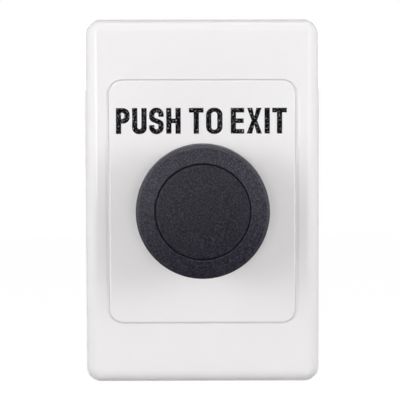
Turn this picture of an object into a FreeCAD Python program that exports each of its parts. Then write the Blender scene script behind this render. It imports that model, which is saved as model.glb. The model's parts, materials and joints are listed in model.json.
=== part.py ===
"""Exit push button on a wall plate: a mushroom button in a 22 mm operator, with two contact blocks behind.

The plate stands upright, as it does on a wall. The wall plane is Y = 0 and the origin is the plate's centre
in that plane. -Y points out of the wall towards the hand, +Y into the wall, +X to the right and +Z up. The
button's axis runs along Y, a little below the plate's centre, and pressing moves it along +Y.
All lengths are in millimetres and all angles in degrees.
"""

import FreeCAD
import Part
import math
import os

import Sketcher
from FreeCAD import Placement, Rotation, Vector

# Driving dimensions: the name of the cell, its value, and what it measures.
DRIVING_SIZES = [
    ("plate_width", 75, "surround, overall width at the wall"),
    ("plate_height", 116, "surround, overall height at the wall"),
    ("plate_corner", 5, "surround, radius of the four corners in front view"),
    ("surround_depth", 8.6, "surround, from the wall to its front face"),
    ("surround_wall", 1.8, "surround, moulded wall"),
    ("surround_draft", 4, "surround, lean of the outer sides in degrees"),
    ("shoulder_radius", 4.2, "surround, rounding between its sides and its front"),
    ("window_gap", 0.4, "clearance round the raised panel"),
    ("window_edge", 1.1, "rounding along the window's front edge"),
    ("window_lip", 1.2, "return lip behind the window, thickness"),
    ("window_lip_depth", 4.2, "return lip behind the window, depth from the front face"),
    ("hook_length", 7, "snap hook of the surround, along the side"),
    ("hook_reach", 1.1, "snap hook of the surround, how far it catches"),
    ("hook_thickness", 0.9, "snap hook of the surround, from front to back"),
    ("hook_spacing", 64, "snap hooks, height between the upper and lower pair"),
    ("hook_clearance", 0.2, "play round each snap hook"),
    ("pry_width", 12, "screwdriver notch in the surround's lower edge, width"),
    ("pry_depth", 1.5, "screwdriver notch in the surround's lower edge, depth"),
    ("panel_side_margin", 8.1, "raised panel of the base plate, from its side to the plate's side"),
    ("panel_end_margin", 19.7, "raised panel of the base plate, from its end to the plate's end"),
    ("panel_corner", 4.3, "raised panel, corner radius in front view"),
    ("panel_front", 9, "raised panel, from the wall to its front face"),
    ("panel_thickness", 3, "raised panel, thickness"),
    ("panel_wall", 2.2, "raised panel, its side walls"),
    ("panel_edge", 0.5, "raised panel, rounding of the front edge"),
    ("flange_thickness", 2.5, "base plate, flange that lies on the wall"),
    ("flange_gap", 0.5, "clearance between the flange and the surround"),
    ("relief_depth", 1, "pockets in the flange's back, depth"),
    ("relief_margin", 2.6, "rim left round those pockets"),
    ("screw_margin", 3.7, "wall screws, from the raised panel's end to their middle"),
    ("screw_hole", 4.2, "wall screw holes, diameter"),
    ("screw_boss", 11, "bosses round the wall screw holes, diameter"),
    ("button_drop", 1.6, "button's axis below the plate's centre"),
    ("operator_hole", 22.3, "hole in the panel for the operator, diameter"),
    ("key_width", 3.2, "notch above that hole, width"),
    ("key_rise", 0.9, "notch above that hole, height over the hole's edge"),
    ("key_clearance", 0.1, "play of the operator's key, and of the carrier's lugs"),
    ("gasket_thickness", 1, "rubber gasket under the bezel, thickness"),
    ("gasket_width", 3, "rubber gasket under the bezel, from bore to rim"),
    ("bezel_diameter", 29.6, "bezel of the operator, diameter"),
    ("bezel_length", 7, "bezel of the operator, height"),
    ("bezel_edge", 1.6, "bezel, rounding of the front edge"),
    ("barrel_diameter", 22, "barrel of the operator, diameter over its thread"),
    ("barrel_length", 26, "barrel, from the bezel's back to its rear end"),
    ("guide_diameter", 16.6, "barrel, bore that guides the plunger"),
    ("chamber_step", 0.2, "barrel, how much wider than the guide the bore behind the ledge is"),
    ("ledge_thickness", 2.5, "barrel, ledge that carries the return spring"),
    ("seal_width", 1.9, "wiper seal's seat in the bezel, from the guide outwards"),
    ("seal_depth", 2.4, "wiper seal's seat in the bezel, depth"),
    ("seal_body", 0.9, "wiper seal, thickness of its outer ring"),
    ("slide_clearance", 0.05, "radial play of sliding round parts"),
    ("fit_clearance", 0.05, "radial play of parts that stay together"),
    ("loose_clearance", 0.3, "play where parts only pass each other"),
    ("stop_gap", 0.05, "air left where moving parts come to a stop"),
    ("travel", 4.5, "button, full travel"),
    ("cap_clearance", 2.5, "gap left between the cap and the bezel when pressed"),
    ("cap_diameter", 40, "mushroom cap, diameter at its front edge, before the rounding"),
    ("cap_height", 13, "mushroom cap, from its rear edge to the top of the insert"),
    ("cap_edge", 1.3, "mushroom cap, rounding of the front edge"),
    ("cap_flare", 0.3, "mushroom cap, the skirt's rear edge lies this far outside its front edge"),
    ("cap_wall", 1.9, "mushroom cap, skirt and hub walls"),
    ("cap_ring_fall", 1.1, "mushroom cap, fall of the ring from the groove to the edge"),
    ("cap_roof", 3, "mushroom cap, plastic above the hollow under the ring"),
    ("cap_web", 2.6, "mushroom cap, floor of the pocket under the insert"),
    ("hub_depth", 4.5, "mushroom cap, how far the hub takes the plunger"),
    ("cap_rib_count", 6, "mushroom cap, ribs under the ring"),
    ("cap_rib_thickness", 1.4, "mushroom cap, thickness of those ribs"),
    ("cap_rib_setback", 2, "mushroom cap, ribs stop this far inside the skirt's edge"),
    ("insert_diameter", 28, "insert disc, diameter"),
    ("insert_gap", 0.2, "groove round the insert disc, width"),
    ("insert_thickness", 2.1, "insert disc, thickness at its edge"),
    ("insert_crown", 0.7, "insert disc, how far its middle stands proud of its edge"),
    ("insert_bevel", 0.25, "insert disc and its seat, bevel at the groove"),
    ("insert_rib", 1.2, "snap ring behind the insert disc, height and thickness"),
    ("pocket_diameter", 21, "pocket under the insert disc, diameter"),
    ("pocket_depth", 3, "pocket under the insert disc, depth below the disc"),
    ("spring_room", 12, "return spring's chamber, length at rest"),
    ("spring_wire", 0.9, "return spring, wire diameter"),
    ("spring_diameter", 12.6, "return spring, mean coil diameter"),
    ("spring_turns", 5.5, "return spring, turns"),
    ("spring_play", 0.15, "every spring, play at its ends"),
    ("tail_diameter", 8, "plunger, tail rod diameter"),
    ("push_plate_thickness", 2, "push plate at the plunger's tail, thickness"),
    ("push_plate_inset", 0.4, "push plate at the plunger's tail, its rim inside the guide's bore"),
    ("tail_room", 0.95, "room left behind the push plate at full travel"),
    ("cap_screw_diameter", 4, "screw that holds the cap, diameter"),
    ("cap_screw_head", 7.4, "screw that holds the cap, head diameter"),
    ("cap_screw_head_height", 2.2, "screw that holds the cap, head height"),
    ("cap_screw_length", 10, "screw that holds the cap, under its head"),
    ("tail_screw_diameter", 3, "screw that holds the push plate, diameter"),
    ("tail_screw_head", 5.4, "screw that holds the push plate, head diameter"),
    ("tail_screw_length", 8, "screw that holds the push plate, with its head"),
    ("cross_length", 3.4, "cross recess in the screw heads, length"),
    ("cross_width", 0.8, "cross recess in the screw heads, width"),
    ("cross_depth", 1, "cross recess in the screw heads, depth"),
    ("washer_thickness", 1, "lock washer behind the panel, thickness"),
    ("washer_diameter", 28, "lock washer, diameter"),
    ("washer_teeth", 12, "lock washer, notches round its rim"),
    ("washer_notch", 2.4, "lock washer, width of those notches"),
    ("nut_diameter", 30, "fixing nut, diameter"),
    ("nut_thickness", 4.6, "fixing nut, thickness"),
    ("nut_grips", 8, "fixing nut, spanner notches"),
    ("nut_grip_width", 4, "fixing nut, width of those notches"),
    ("nut_grip_depth", 1.4, "fixing nut, depth of those notches"),
    ("carrier_thickness", 7, "contact carrier, thickness"),
    ("carrier_margin", 3.3, "contact carrier, how far it stands out beside the blocks"),
    ("carrier_corner", 2.5, "contact carrier, corner radius"),
    ("carrier_pocket_depth", 5, "contact carrier, depth of its front pockets"),
    ("carrier_wall", 2, "contact carrier, walls round its front pockets"),
    ("lug_width", 3, "carrier lugs in the barrel's end, width"),
    ("lug_depth", 4, "carrier lugs in the barrel's end, depth"),
    ("lug_height", 2, "carrier lugs in the barrel's end, height"),
    ("lock_screw_diameter", 3, "set screw that locks the carrier on the barrel, diameter"),
    ("lock_screw_proud", 0.6, "set screw, how far it stands out of the carrier"),
    ("lock_screw_slot", 0.6, "set screw, slot width and depth"),
    ("block_gap", 0.6, "contact blocks, gap between the two"),
    ("block_width", 10.6, "contact block, width with its cover"),
    ("block_height", 40, "contact block, height"),
    ("block_depth", 23, "contact block, depth"),
    ("block_wall", 1.2, "contact block, walls and cover"),
    ("block_end_wall", 1.4, "contact block, upper and lower end walls"),
    ("block_bevel", 0.6, "contact block, bevel of the rear edges"),
    ("shelf_depth", 13.7, "contact block, shelf under the terminals, from the block's front"),
    ("shelf_passage", 2.2, "contact block, opening over the shelf for the contact strip"),
    ("clip_width", 5, "carrier clips that hold the blocks, width"),
    ("clip_thickness", 1.5, "carrier clips, thickness"),
    ("clip_length", 4, "carrier clips, length behind the carrier"),
    ("clip_nib", 0.8, "carrier clips, catch"),
    ("clip_nib_length", 1.2, "carrier clips, length of the catch"),
    ("clip_clearance", 0.1, "play of the clips on the blocks"),
    ("tip_diameter", 3.2, "contact plunger, front tip diameter"),
    ("tip_clearance", 0.15, "contact plunger, radial play of its tip"),
    ("slider_height", 6, "contact plunger, body along the block"),
    ("slider_setback", 2, "contact plunger, body's front face behind the block's front"),
    ("slider_wall", 1.2, "contact plunger, walls in front of and behind its window"),
    ("slider_bore", 3.8, "contact plunger, bore for the block spring"),
    ("slider_bore_depth", 5, "contact plunger, depth of that bore"),
    ("bridge_width", 3, "bridge contact, strip width"),
    ("bridge_length", 20, "bridge contact, strip length"),
    ("bridge_thickness", 0.8, "bridge contact, strip thickness"),
    ("rivet_diameter", 2.6, "contact rivets, diameter"),
    ("rivet_height", 0.6, "contact rivets, height"),
    ("rivet_place", 8.4, "contact rivets, distance from the block's middle"),
    ("contact_stroke", 2.5, "bridge contact, stroke"),
    ("strip_thickness", 1, "fixed contact strips, thickness"),
    ("strip_end", 1.8, "fixed contact strips, length past the rivet's middle"),
    ("terminal_width", 6.4, "fixed contact strips, width at the terminal"),
    ("terminal_screw", 3.4, "terminal screws, diameter"),
    ("terminal_head", 6, "terminal screws, head diameter"),
    ("terminal_head_height", 2.2, "terminal screws, head height"),
    ("terminal_screw_length", 7.5, "terminal screws, length under the head"),
    ("clamp_size", 6.2, "wire clamp plates, side"),
    ("clamp_thickness", 1, "wire clamp plates, thickness"),
    ("wire_opening", 0.9, "gap between clamp plate and strip, screws backed off"),
    ("wire_hole_width", 6, "wire entry in the block's ends, width"),
    ("wire_hole_depth", 3.2, "wire entry in the block's ends, depth"),
    ("access_hole", 6.6, "screwdriver holes over the terminal screws, diameter"),
    ("slider_spring_wire", 0.4, "block spring, wire diameter"),
    ("slider_spring_diameter", 2.9, "block spring, mean coil diameter"),
    ("slider_spring_turns", 8, "block spring, turns"),
    ("contact_spring_wire", 0.35, "contact pressure spring, wire diameter"),
    ("contact_spring_diameter", 2.1, "contact pressure spring, mean coil diameter"),
    ("contact_spring_turns", 4, "contact pressure spring, turns"),
]

doc = FreeCAD.newDocument("exit_button")
sizes = doc.addObject("Spreadsheet::Sheet", "sizes")
for row, (alias, amount, meaning) in enumerate(DRIVING_SIZES, start=1):
    sizes.set(f"A{row}", alias)
    sizes.set(f"B{row}", str(amount))
    sizes.setAlias(f"B{row}", alias)
    sizes.set(f"C{row}", meaning)
doc.recompute()

# Depths along Y, from the front of the button to the back of the contact blocks.
PANEL_FACE = "(0 - sizes.panel_front)"
PANEL_BACK = f"({PANEL_FACE} + sizes.panel_thickness)"
GASKET_FACE = f"({PANEL_FACE} - sizes.gasket_thickness)"
BEZEL_FACE = f"({GASKET_FACE} - sizes.bezel_length)"
SEAL_FLOOR = f"({BEZEL_FACE} + sizes.seal_depth)"
SKIRT_EDGE = f"({BEZEL_FACE} - sizes.travel - sizes.cap_clearance)"
CROWN_TOP = f"({SKIRT_EDGE} - sizes.cap_height)"
GROOVE_FACE = f"({CROWN_TOP} + sizes.insert_crown)"
RING_EDGE = f"({GROOVE_FACE} + sizes.cap_ring_fall)"
CAP_ROOF = f"({RING_EDGE} + sizes.cap_roof)"
INSERT_BACK = f"({GROOVE_FACE} + sizes.insert_thickness)"
POCKET_FLOOR = f"({INSERT_BACK} + sizes.pocket_depth)"
PLUNGER_FACE = f"({POCKET_FLOOR} + sizes.cap_web)"
HUB_BACK = f"({PLUNGER_FACE} + sizes.hub_depth)"
WASHER_BACK = f"({PANEL_BACK} + sizes.washer_thickness)"
NUT_BACK = f"({WASHER_BACK} + sizes.nut_thickness)"
BARREL_END = f"({GASKET_FACE} + sizes.barrel_length)"
PLATE_STROKE = "(sizes.stop_gap + sizes.push_plate_thickness + sizes.travel)"
LEDGE_BACK = f"({BARREL_END} - {PLATE_STROKE} - sizes.tail_room)"
LEDGE_FACE = f"({LEDGE_BACK} - sizes.ledge_thickness)"
PISTON_BACK = f"({LEDGE_FACE} - sizes.spring_room)"
PUSH_PLATE_FACE = f"({LEDGE_BACK} + sizes.stop_gap)"
PUSH_PLATE_BACK = f"({PUSH_PLATE_FACE} + sizes.push_plate_thickness)"
CARRIER_FACE = f"({BARREL_END} - sizes.carrier_thickness)"

# The raised panel's outline, which follows the plate's.
PANEL_WIDTH = "(sizes.plate_width - 2 * sizes.panel_side_margin)"
PANEL_HEIGHT = "(sizes.plate_height - 2 * sizes.panel_end_margin)"

# Radii round the button's axis.
BARREL_RADIUS = "(sizes.barrel_diameter / 2)"
BARREL_FIT = f"({BARREL_RADIUS} + sizes.fit_clearance)"
GUIDE_RADIUS = "(sizes.guide_diameter / 2)"
CHAMBER_RADIUS = f"({GUIDE_RADIUS} + sizes.chamber_step)"
PISTON_RADIUS = f"({GUIDE_RADIUS} - sizes.slide_clearance)"
TAIL_RADIUS = "(sizes.tail_diameter / 2)"
SEAL_RADIUS = f"({GUIDE_RADIUS} + sizes.seal_width)"
SEAT_RADIUS = "(sizes.insert_diameter / 2 + sizes.insert_gap)"
POCKET_RADIUS = "(sizes.pocket_diameter / 2)"
HUB_RADIUS = f"({POCKET_RADIUS} + sizes.cap_wall)"
SKIRT_RADIUS = "(sizes.cap_diameter / 2 + sizes.cap_flare)"

# Places inside a contact block: depths along Y, and heights and widths from the block's middle.
BLOCK_FACE = BARREL_END
BLOCK_BACK = f"({BLOCK_FACE} + sizes.block_depth)"
BLOCK_FLOOR = f"({BLOCK_FACE} + sizes.block_wall)"
BLOCK_ROOF = f"({BLOCK_BACK} - sizes.block_wall)"
BLOCK_HALF = "(sizes.block_width / 2)"
BLOCK_PITCH = "(sizes.block_width + sizes.block_gap)"
CARRIER_HALF = f"({BLOCK_PITCH} / 2 + {BLOCK_HALF} + sizes.carrier_margin)"
COVER_PLANE = f"({BLOCK_HALF} - sizes.block_wall)"
BLOCK_TOP = "(sizes.block_height / 2)"
CHAMBER_TOP = f"({BLOCK_TOP} - sizes.block_end_wall)"
TERMINAL_HALF = "(sizes.terminal_head / 2 + sizes.loose_clearance)"
TERMINAL_PLACE = f"({CHAMBER_TOP} - {TERMINAL_HALF})"
TERMINAL_INNER = f"({TERMINAL_PLACE} - {TERMINAL_HALF})"
SHELF = f"({BLOCK_FACE} + sizes.shelf_depth)"
PASSAGE_BACK = f"({SHELF} + sizes.shelf_passage)"
STRIP_BACK = f"({SHELF} + sizes.strip_thickness)"
STRIP_START = "(sizes.rivet_place - sizes.strip_end)"
STRIP_TOP = f"({CHAMBER_TOP} - sizes.stop_gap)"
CLAMP_FACE = f"({STRIP_BACK} + sizes.wire_opening)"
CLAMP_BACK = f"({CLAMP_FACE} + sizes.clamp_thickness)"
SLIDER_FACE = f"({BLOCK_FACE} + sizes.slider_setback)"
WINDOW_FACE = f"({SLIDER_FACE} + sizes.slider_wall)"
MAKE_RIVET_BACK = f"({SHELF} - sizes.rivet_height - sizes.contact_stroke - sizes.stop_gap)"
MAKE_BRIDGE_BACK = f"({MAKE_RIVET_BACK} - sizes.rivet_height)"
MAKE_BRIDGE_FACE = f"({MAKE_BRIDGE_BACK} - sizes.bridge_thickness)"
WINDOW_BACK = f"({MAKE_BRIDGE_BACK} + sizes.stop_gap)"
BREAK_BRIDGE_FACE = f"({WINDOW_FACE} + sizes.travel - sizes.contact_stroke + sizes.stop_gap)"
BREAK_BRIDGE_BACK = f"({BREAK_BRIDGE_FACE} + sizes.bridge_thickness)"
BREAK_STRIP_BACK = f"({BREAK_BRIDGE_FACE} - 2 * sizes.rivet_height - sizes.stop_gap)"
BREAK_STRIP_FACE = f"({BREAK_STRIP_BACK} - sizes.strip_thickness)"
BORE_FLOOR = f"({WINDOW_BACK} + sizes.slider_wall)"
SLIDER_BACK = f"({BORE_FLOOR} + sizes.slider_bore_depth)"
TIP_FACE = f"({PUSH_PLATE_BACK} + sizes.stop_gap)"

# The three ways of looking at a sketch: its plane, and which way that plane's normal points along the axis.
VIEWS = {"front": ("XZ_Plane", -1), "side": ("YZ_Plane", 1), "top": ("XY_Plane", 1)}
MATCH = 1e-4
pieces = []


def number(expression):
    """What an expression over the sheet is worth now."""
    return float(sizes.evalExpression(expression))


def dimension(sketch, kind, *places, to):
    """A driving dimension of a sketch, bound to an expression."""
    index = sketch.addConstraint(Sketcher.Constraint(kind, *places, number(to)))
    sketch.setExpression(f"Constraints[{index}]", to)


def pin(sketch, curve, point, x, y):
    """Holds one point of a curve at x, y from the sketch's origin."""
    dimension(sketch, "DistanceX", -1, 1, curve, point, to=x)
    dimension(sketch, "DistanceY", -1, 1, curve, point, to=y)


def dome_arc(start, end):
    """An arc from start to end whose centre lies on the sketch's upright axis."""
    centre_y = (start.x**2 + start.y**2 - end.x**2 - end.y**2) / (2 * (start.y - end.y))
    centre = Vector(0, centre_y, 0)
    halfway = (start + end) / 2 - centre
    halfway.normalize()
    return Part.Arc(start, centre + halfway * (start - centre).Length, end)


def tangent_arc(before, corner, after, radius):
    """The arc that rounds a corner between two straight runs: its start, its middle and its end."""
    to_before = (before - corner).normalize()
    to_after = (after - corner).normalize()
    half_angle = to_before.getAngle(to_after) / 2
    reach = radius / math.tan(half_angle)
    towards_centre = (to_before + to_after).normalize()
    middle = corner + towards_centre * (radius / math.sin(half_angle) - radius)
    return corner + to_before * reach, middle, corner + to_after * reach


def outline(*corners, dome=None):
    """A closed outline through corners given as pairs of expressions, or as an x, a y and a rounding radius.

    The run numbered dome is bowed, with its centre on the sketch's upright axis.
    """

    def draw(sketch):
        places = [Vector(number(corner[0]), number(corner[1]), 0) for corner in corners]
        starts, arcs = list(places), {}
        ends = places[1:] + places[:1]
        for step, corner in enumerate(corners):
            if len(corner) == 3:
                after = places[(step + 1) % len(places)]
                arcs[step] = tangent_arc(places[step - 1], places[step], after, number(corner[2]))
                ends[step - 1], starts[step] = arcs[step][0], arcs[step][2]
        runs, tips = [], []
        for step, (here, there) in enumerate(zip(starts, ends)):
            curve = dome_arc(here, there) if step == dome else Part.LineSegment(here, there)
            runs.append(sketch.addGeometry(curve))
            turned = step == dome and (sketch.Geometry[runs[-1]].StartPoint - here).Length > MATCH
            tips.append((2, 1) if turned else (1, 2))
        for step, corner in enumerate(corners):
            run, before = runs[step], runs[step - 1]
            if step not in arcs:
                meeting = (before, tips[step - 1][1], run, tips[step][0])
                sketch.addConstraint(Sketcher.Constraint("Coincident", *meeting))
                pin(sketch, run, tips[step][0], corner[0], corner[1])
                continue
            arc = sketch.addGeometry(Part.Arc(*arcs[step]))
            turned = (sketch.Geometry[arc].StartPoint - arcs[step][0]).Length > MATCH
            first, last = (2, 1) if turned else (1, 2)
            sketch.addConstraint(Sketcher.Constraint("Tangent", before, 2, arc, first))
            sketch.addConstraint(Sketcher.Constraint("Tangent", arc, last, run, 1))
            dimension(sketch, "Radius", arc, to=corner[2])
            mark = sketch.addGeometry(Part.Point(places[step]), True)
            pin(sketch, mark, 1, corner[0], corner[1])
            sketch.addConstraint(Sketcher.Constraint("PointOnObject", mark, 1, before))
            sketch.addConstraint(Sketcher.Constraint("PointOnObject", mark, 1, run))
        if dome is not None:
            dimension(sketch, "DistanceX", -1, 1, runs[dome], 3, to="0")

    return draw


def rectangle(left, right, low, high):
    """A rectangle between two places across and two places up the sketch."""
    return outline((left, low), (right, low), (right, high), (left, high))


def above_and_below(left, right, low, high):
    """A rectangle above the sketch's origin, and its mirror image below."""
    return [rectangle(left, right, low, high), rectangle(left, right, f"0 - ({high})", f"0 - ({low})")]


def in_four_quarters(inner, outer, low, high):
    """A rectangle in the upper right quarter of the sketch, and its mirror images in the other three."""
    left_side = (f"0 - ({outer})", f"0 - ({inner})")
    return above_and_below(inner, outer, low, high) + above_and_below(*left_side, low, high)


def circle(radius, x="0", y="0"):
    """A circle of a radius round x, y."""

    def draw(sketch):
        centre = Vector(number(x), number(y), 0)
        curve = sketch.addGeometry(Part.Circle(centre, Vector(0, 0, 1), number(radius)))
        dimension(sketch, "Radius", curve, to=radius)
        pin(sketch, curve, 3, x, y)

    return draw


def rounded_rectangle(width, height, radius):
    """A rectangle round the sketch's origin whose corners are tangent arcs."""

    def draw(sketch):
        half_w, half_h, r = number(width) / 2, number(height) / 2, number(radius)
        x, y = half_w - r, half_h - r
        centres = [(x, -y), (x, y), (-x, y), (-x, -y)]
        for corner in range(4):
            turned = Rotation(Vector(0, 0, 1), 90 * corner)
            here = Vector(*centres[corner], 0)
            back = Vector(*centres[corner - 1], 0)
            outward = turned.multVec(Vector(0, -r, 0))
            sketch.addGeometry(Part.LineSegment(back + outward, here + outward))
            start = math.radians(90 * corner - 90)
            arc = Part.ArcOfCircle(Part.Circle(here, Vector(0, 0, 1), r), start, start + math.pi / 2)
            sketch.addGeometry(arc)
        for corner in range(4):
            side, arc, following = 2 * corner, 2 * corner + 1, (2 * corner + 2) % 8
            sketch.addConstraint(Sketcher.Constraint("Tangent", side, 2, arc, 1))
            sketch.addConstraint(Sketcher.Constraint("Tangent", arc, 2, following, 1))
            sketch.addConstraint(Sketcher.Constraint("Vertical" if corner % 2 else "Horizontal", side))
            if corner:
                sketch.addConstraint(Sketcher.Constraint("Equal", 1, arc))
        dimension(sketch, "Radius", 1, to=radius)
        dimension(sketch, "DistanceX", 6, 1, 2, 1, to=width)
        dimension(sketch, "DistanceY", 0, 1, 4, 1, to=height)
        dimension(sketch, "DistanceX", -1, 1, 6, 1, to=f"0 - ({width}) / 2")
        dimension(sketch, "DistanceY", -1, 1, 0, 1, to=f"0 - ({height}) / 2")

    return draw


def cross(y):
    """The cross recess of a screw head, centred at height y."""
    arm, half = "sizes.cross_length / 2", "sizes.cross_width / 2"
    upper = [(half, arm), (half, half), (arm, half)]
    turns = upper + [(x, f"0 - {up}") for x, up in reversed(upper)]
    right = [(x, f"{y} + {up}") for x, up in turns]
    left = [(f"0 - {x}", f"{y} + {up}") for x, up in reversed(turns)]
    return outline(*right, *left)


def new_body(label, on_axis=True):
    """A body of its own. What lies on the button's axis is dropped to it."""
    body = doc.addObject("PartDesign::Body", label)
    body.Label = label
    if on_axis:
        body.setExpression("Placement.Base.z", "0 - sizes.button_drop")
    pieces.append(body)
    return body


def new_sketch(body, name, plane, offset, shapes):
    """A sketch on one of the body's own planes, moved along that plane's normal."""
    sketch = body.newObject("Sketcher::SketchObject", name)
    support = next(feature for feature in body.Origin.OriginFeatures if feature.Role == plane)
    sketch.AttachmentSupport = [(support, "")]
    sketch.MapMode = "FlatFace"
    sketch.setExpression("AttachmentOffset.Base.z", offset)
    for draw in shapes:
        draw(sketch)
    return sketch


def add(body, name, view, low, high, *shapes):
    """Pads shapes between two places along the view's axis."""
    plane, normal = VIEWS[view]
    start = low if normal > 0 else high
    feature = body.newObject("PartDesign::Pad", name)
    feature.Profile = new_sketch(body, f"{name}_outline", plane, f"{normal} * ({start})", shapes)
    feature.setExpression("Length", f"({high}) - ({low})")
    return feature


def cut(body, name, view, low, high, *shapes):
    """Cuts shapes away between two places along the view's axis, and makes sure that something went."""
    doc.recompute()
    before = body.Tip.Shape.Volume
    plane, normal = VIEWS[view]
    start = high if normal > 0 else low
    feature = body.newObject("PartDesign::Pocket", name)
    feature.Profile = new_sketch(body, f"{name}_outline", plane, f"{normal} * ({start})", shapes)
    feature.setExpression("Length", f"({high}) - ({low})")
    doc.recompute()
    if feature.Shape.Volume >= before - MATCH:
        raise RuntimeError(f"{name} cuts nothing")
    return feature


def turn(body, name, *shapes):
    """Turns shapes round the button's axis: across the sketch is the radius, up the sketch is Y."""
    feature = body.newObject("PartDesign::Revolution", name)
    sketch = new_sketch(body, f"{name}_outline", "XY_Plane", "0", shapes)
    feature.Profile = sketch
    feature.ReferenceAxis = (sketch, ["V_Axis"])
    feature.Angle = 360
    return feature


def coil(body, name, wire, diameter, turns, low, high):
    """A coil that fills the room from low to high. Its wire is simplified to eight flat sides."""
    radius, shorter = f"({wire} / 2)", f"({wire} / 2 * tan(22.5))"
    steps = [(radius, shorter), (shorter, radius)]
    quarter = [(1, 1), (-1, 1), (-1, -1), (1, -1)]
    corners = []
    for side, rise in quarter:
        pair = steps if side == rise else steps[::-1]
        for across, up in pair:
            corners.append((f"{diameter} / 2 + ({side}) * {across}", f"({low}) + {radius} + ({rise}) * {up}"))
    sketch = new_sketch(body, f"{name}_wire", "XY_Plane", "0", [outline(*corners)])
    helix = body.newObject("PartDesign::AdditiveHelix", name)
    helix.Profile = sketch
    helix.ReferenceAxis = (sketch, ["V_Axis"])
    helix.Mode = "height-turns-angle"
    helix.setExpression("Height", f"({high}) - ({low}) - {wire}")
    helix.setExpression("Turns", turns)
    return helix


def dress_edges(body, kind, name, size, chosen):
    """A fillet or a chamfer on the edges of the body's last feature that chosen picks."""
    doc.recompute()
    base = body.Tip
    names = [f"Edge{index}" for index, edge in enumerate(base.Shape.Edges, start=1) if chosen(edge.BoundBox)]
    if not names:
        raise RuntimeError(f"{name} found no edge")
    feature = body.newObject(f"PartDesign::{kind}", name)
    feature.Base = (base, names)
    feature.setExpression("Radius" if kind == "Fillet" else "Size", size)
    return feature


def at_depth(box, depth):
    """Whether an edge's box lies in the plane Y = depth."""
    level = number(depth)
    return abs(box.YMin - level) < MATCH and abs(box.YMax - level) < MATCH


def repeat_round(body, name, feature, count):
    """Repeats a feature round the button's axis."""
    pattern = body.newObject("PartDesign::PolarPattern", name)
    pattern.Originals = [feature]
    pattern.Axis = (next(axis for axis in body.Origin.OriginFeatures if axis.Role == "Y_Axis"), [""])
    pattern.Angle = 360
    pattern.setExpression("Occurrences", count)
    body.Tip = pattern
    return pattern


def mirror(body, name, features, plane):
    """Repeats features on the other side of one of the body's planes."""
    mirrored = body.newObject("PartDesign::Mirrored", name)
    mirrored.Originals = features
    mirrored.MirrorPlane = (next(side for side in body.Origin.OriginFeatures if side.Role == plane), [""])
    body.Tip = mirrored
    return mirrored


def make_surround_cover():
    """The clip-on surround: a shallow drafted tray with a window for the raised panel."""
    body = new_body("surround_cover", on_axis=False)
    face = "(0 - sizes.surround_depth)"
    inner_face = f"({face} + sizes.surround_wall)"
    inner_width = "(sizes.plate_width - 2 * sizes.surround_wall)"
    inner_height = "(sizes.plate_height - 2 * sizes.surround_wall)"
    inner_corner = "(sizes.plate_corner - sizes.surround_wall)"
    window_width = f"({PANEL_WIDTH} + 2 * sizes.window_gap)"
    window_height = f"({PANEL_HEIGHT} + 2 * sizes.window_gap)"
    window_corner = "(sizes.panel_corner + sizes.window_gap)"
    plate = rounded_rectangle("sizes.plate_width", "sizes.plate_height", "sizes.plate_corner")
    form = add(body, "outer_form", "front", face, "0", plate)
    form.setExpression("TaperAngle", "0 - sizes.surround_draft")
    dress_edges(body, "Fillet", "shoulder", "sizes.shoulder_radius", lambda box: at_depth(box, face))
    tray = rounded_rectangle(inner_width, inner_height, inner_corner)
    hollow = new_sketch(body, "hollow_outline", "XZ_Plane", "0", [tray])
    inside = body.newObject("PartDesign::Pocket", "hollow")
    inside.Profile = hollow
    inside.Reversed = True
    inside.setExpression("Length", "sizes.surround_depth - sizes.surround_wall")
    inside.setExpression("TaperAngle", "0 - sizes.surround_draft")
    inside_radius = "(sizes.shoulder_radius - sizes.surround_wall)"
    dress_edges(body, "Fillet", "inner_shoulder", inside_radius, lambda box: at_depth(box, inner_face))
    lip_outline = rounded_rectangle(
        f"{window_width} + 2 * sizes.window_lip",
        f"{window_height} + 2 * sizes.window_lip",
        f"{window_corner} + sizes.window_lip",
    )
    lip_back = f"({face} + sizes.window_lip_depth)"
    add(body, "window_lip", "front", f"{face} + sizes.surround_wall / 2", lip_back, lip_outline)
    window = rounded_rectangle(window_width, window_height, window_corner)
    cut(body, "window", "front", f"{face} - 1", lip_back, window)
    reach = number(window_width) / 2 + MATCH

    def round_window(box):
        """Whether an edge's box belongs to the window's front edge."""
        return at_depth(box, face) and max(box.XMax, -box.XMin) <= reach

    dress_edges(body, "Fillet", "window_rounding", "sizes.window_edge", round_window)
    hook_tip = f"({inner_width} / 2 - sizes.hook_reach)"
    hook_root = "((sizes.plate_width - sizes.surround_wall) / 2)"
    hook_middle = "(sizes.hook_spacing / 2)"
    hook_back = "(0 - sizes.hook_clearance / 2)"
    hook_low, hook_high = f"{hook_middle} - sizes.hook_length / 2", f"{hook_middle} + sizes.hook_length / 2"
    hooks = in_four_quarters(hook_tip, hook_root, hook_low, hook_high)
    add(body, "snap_hooks", "front", f"{hook_back} - sizes.hook_thickness", hook_back, *hooks)
    notch = rectangle(
        "0 - sizes.pry_width / 2",
        "sizes.pry_width / 2",
        "0 - sizes.plate_height / 2 - 1",
        f"0 - {inner_height} / 2 + 1",
    )
    cut(body, "pry_notch", "front", "0 - sizes.pry_depth", "0", notch)


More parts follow.
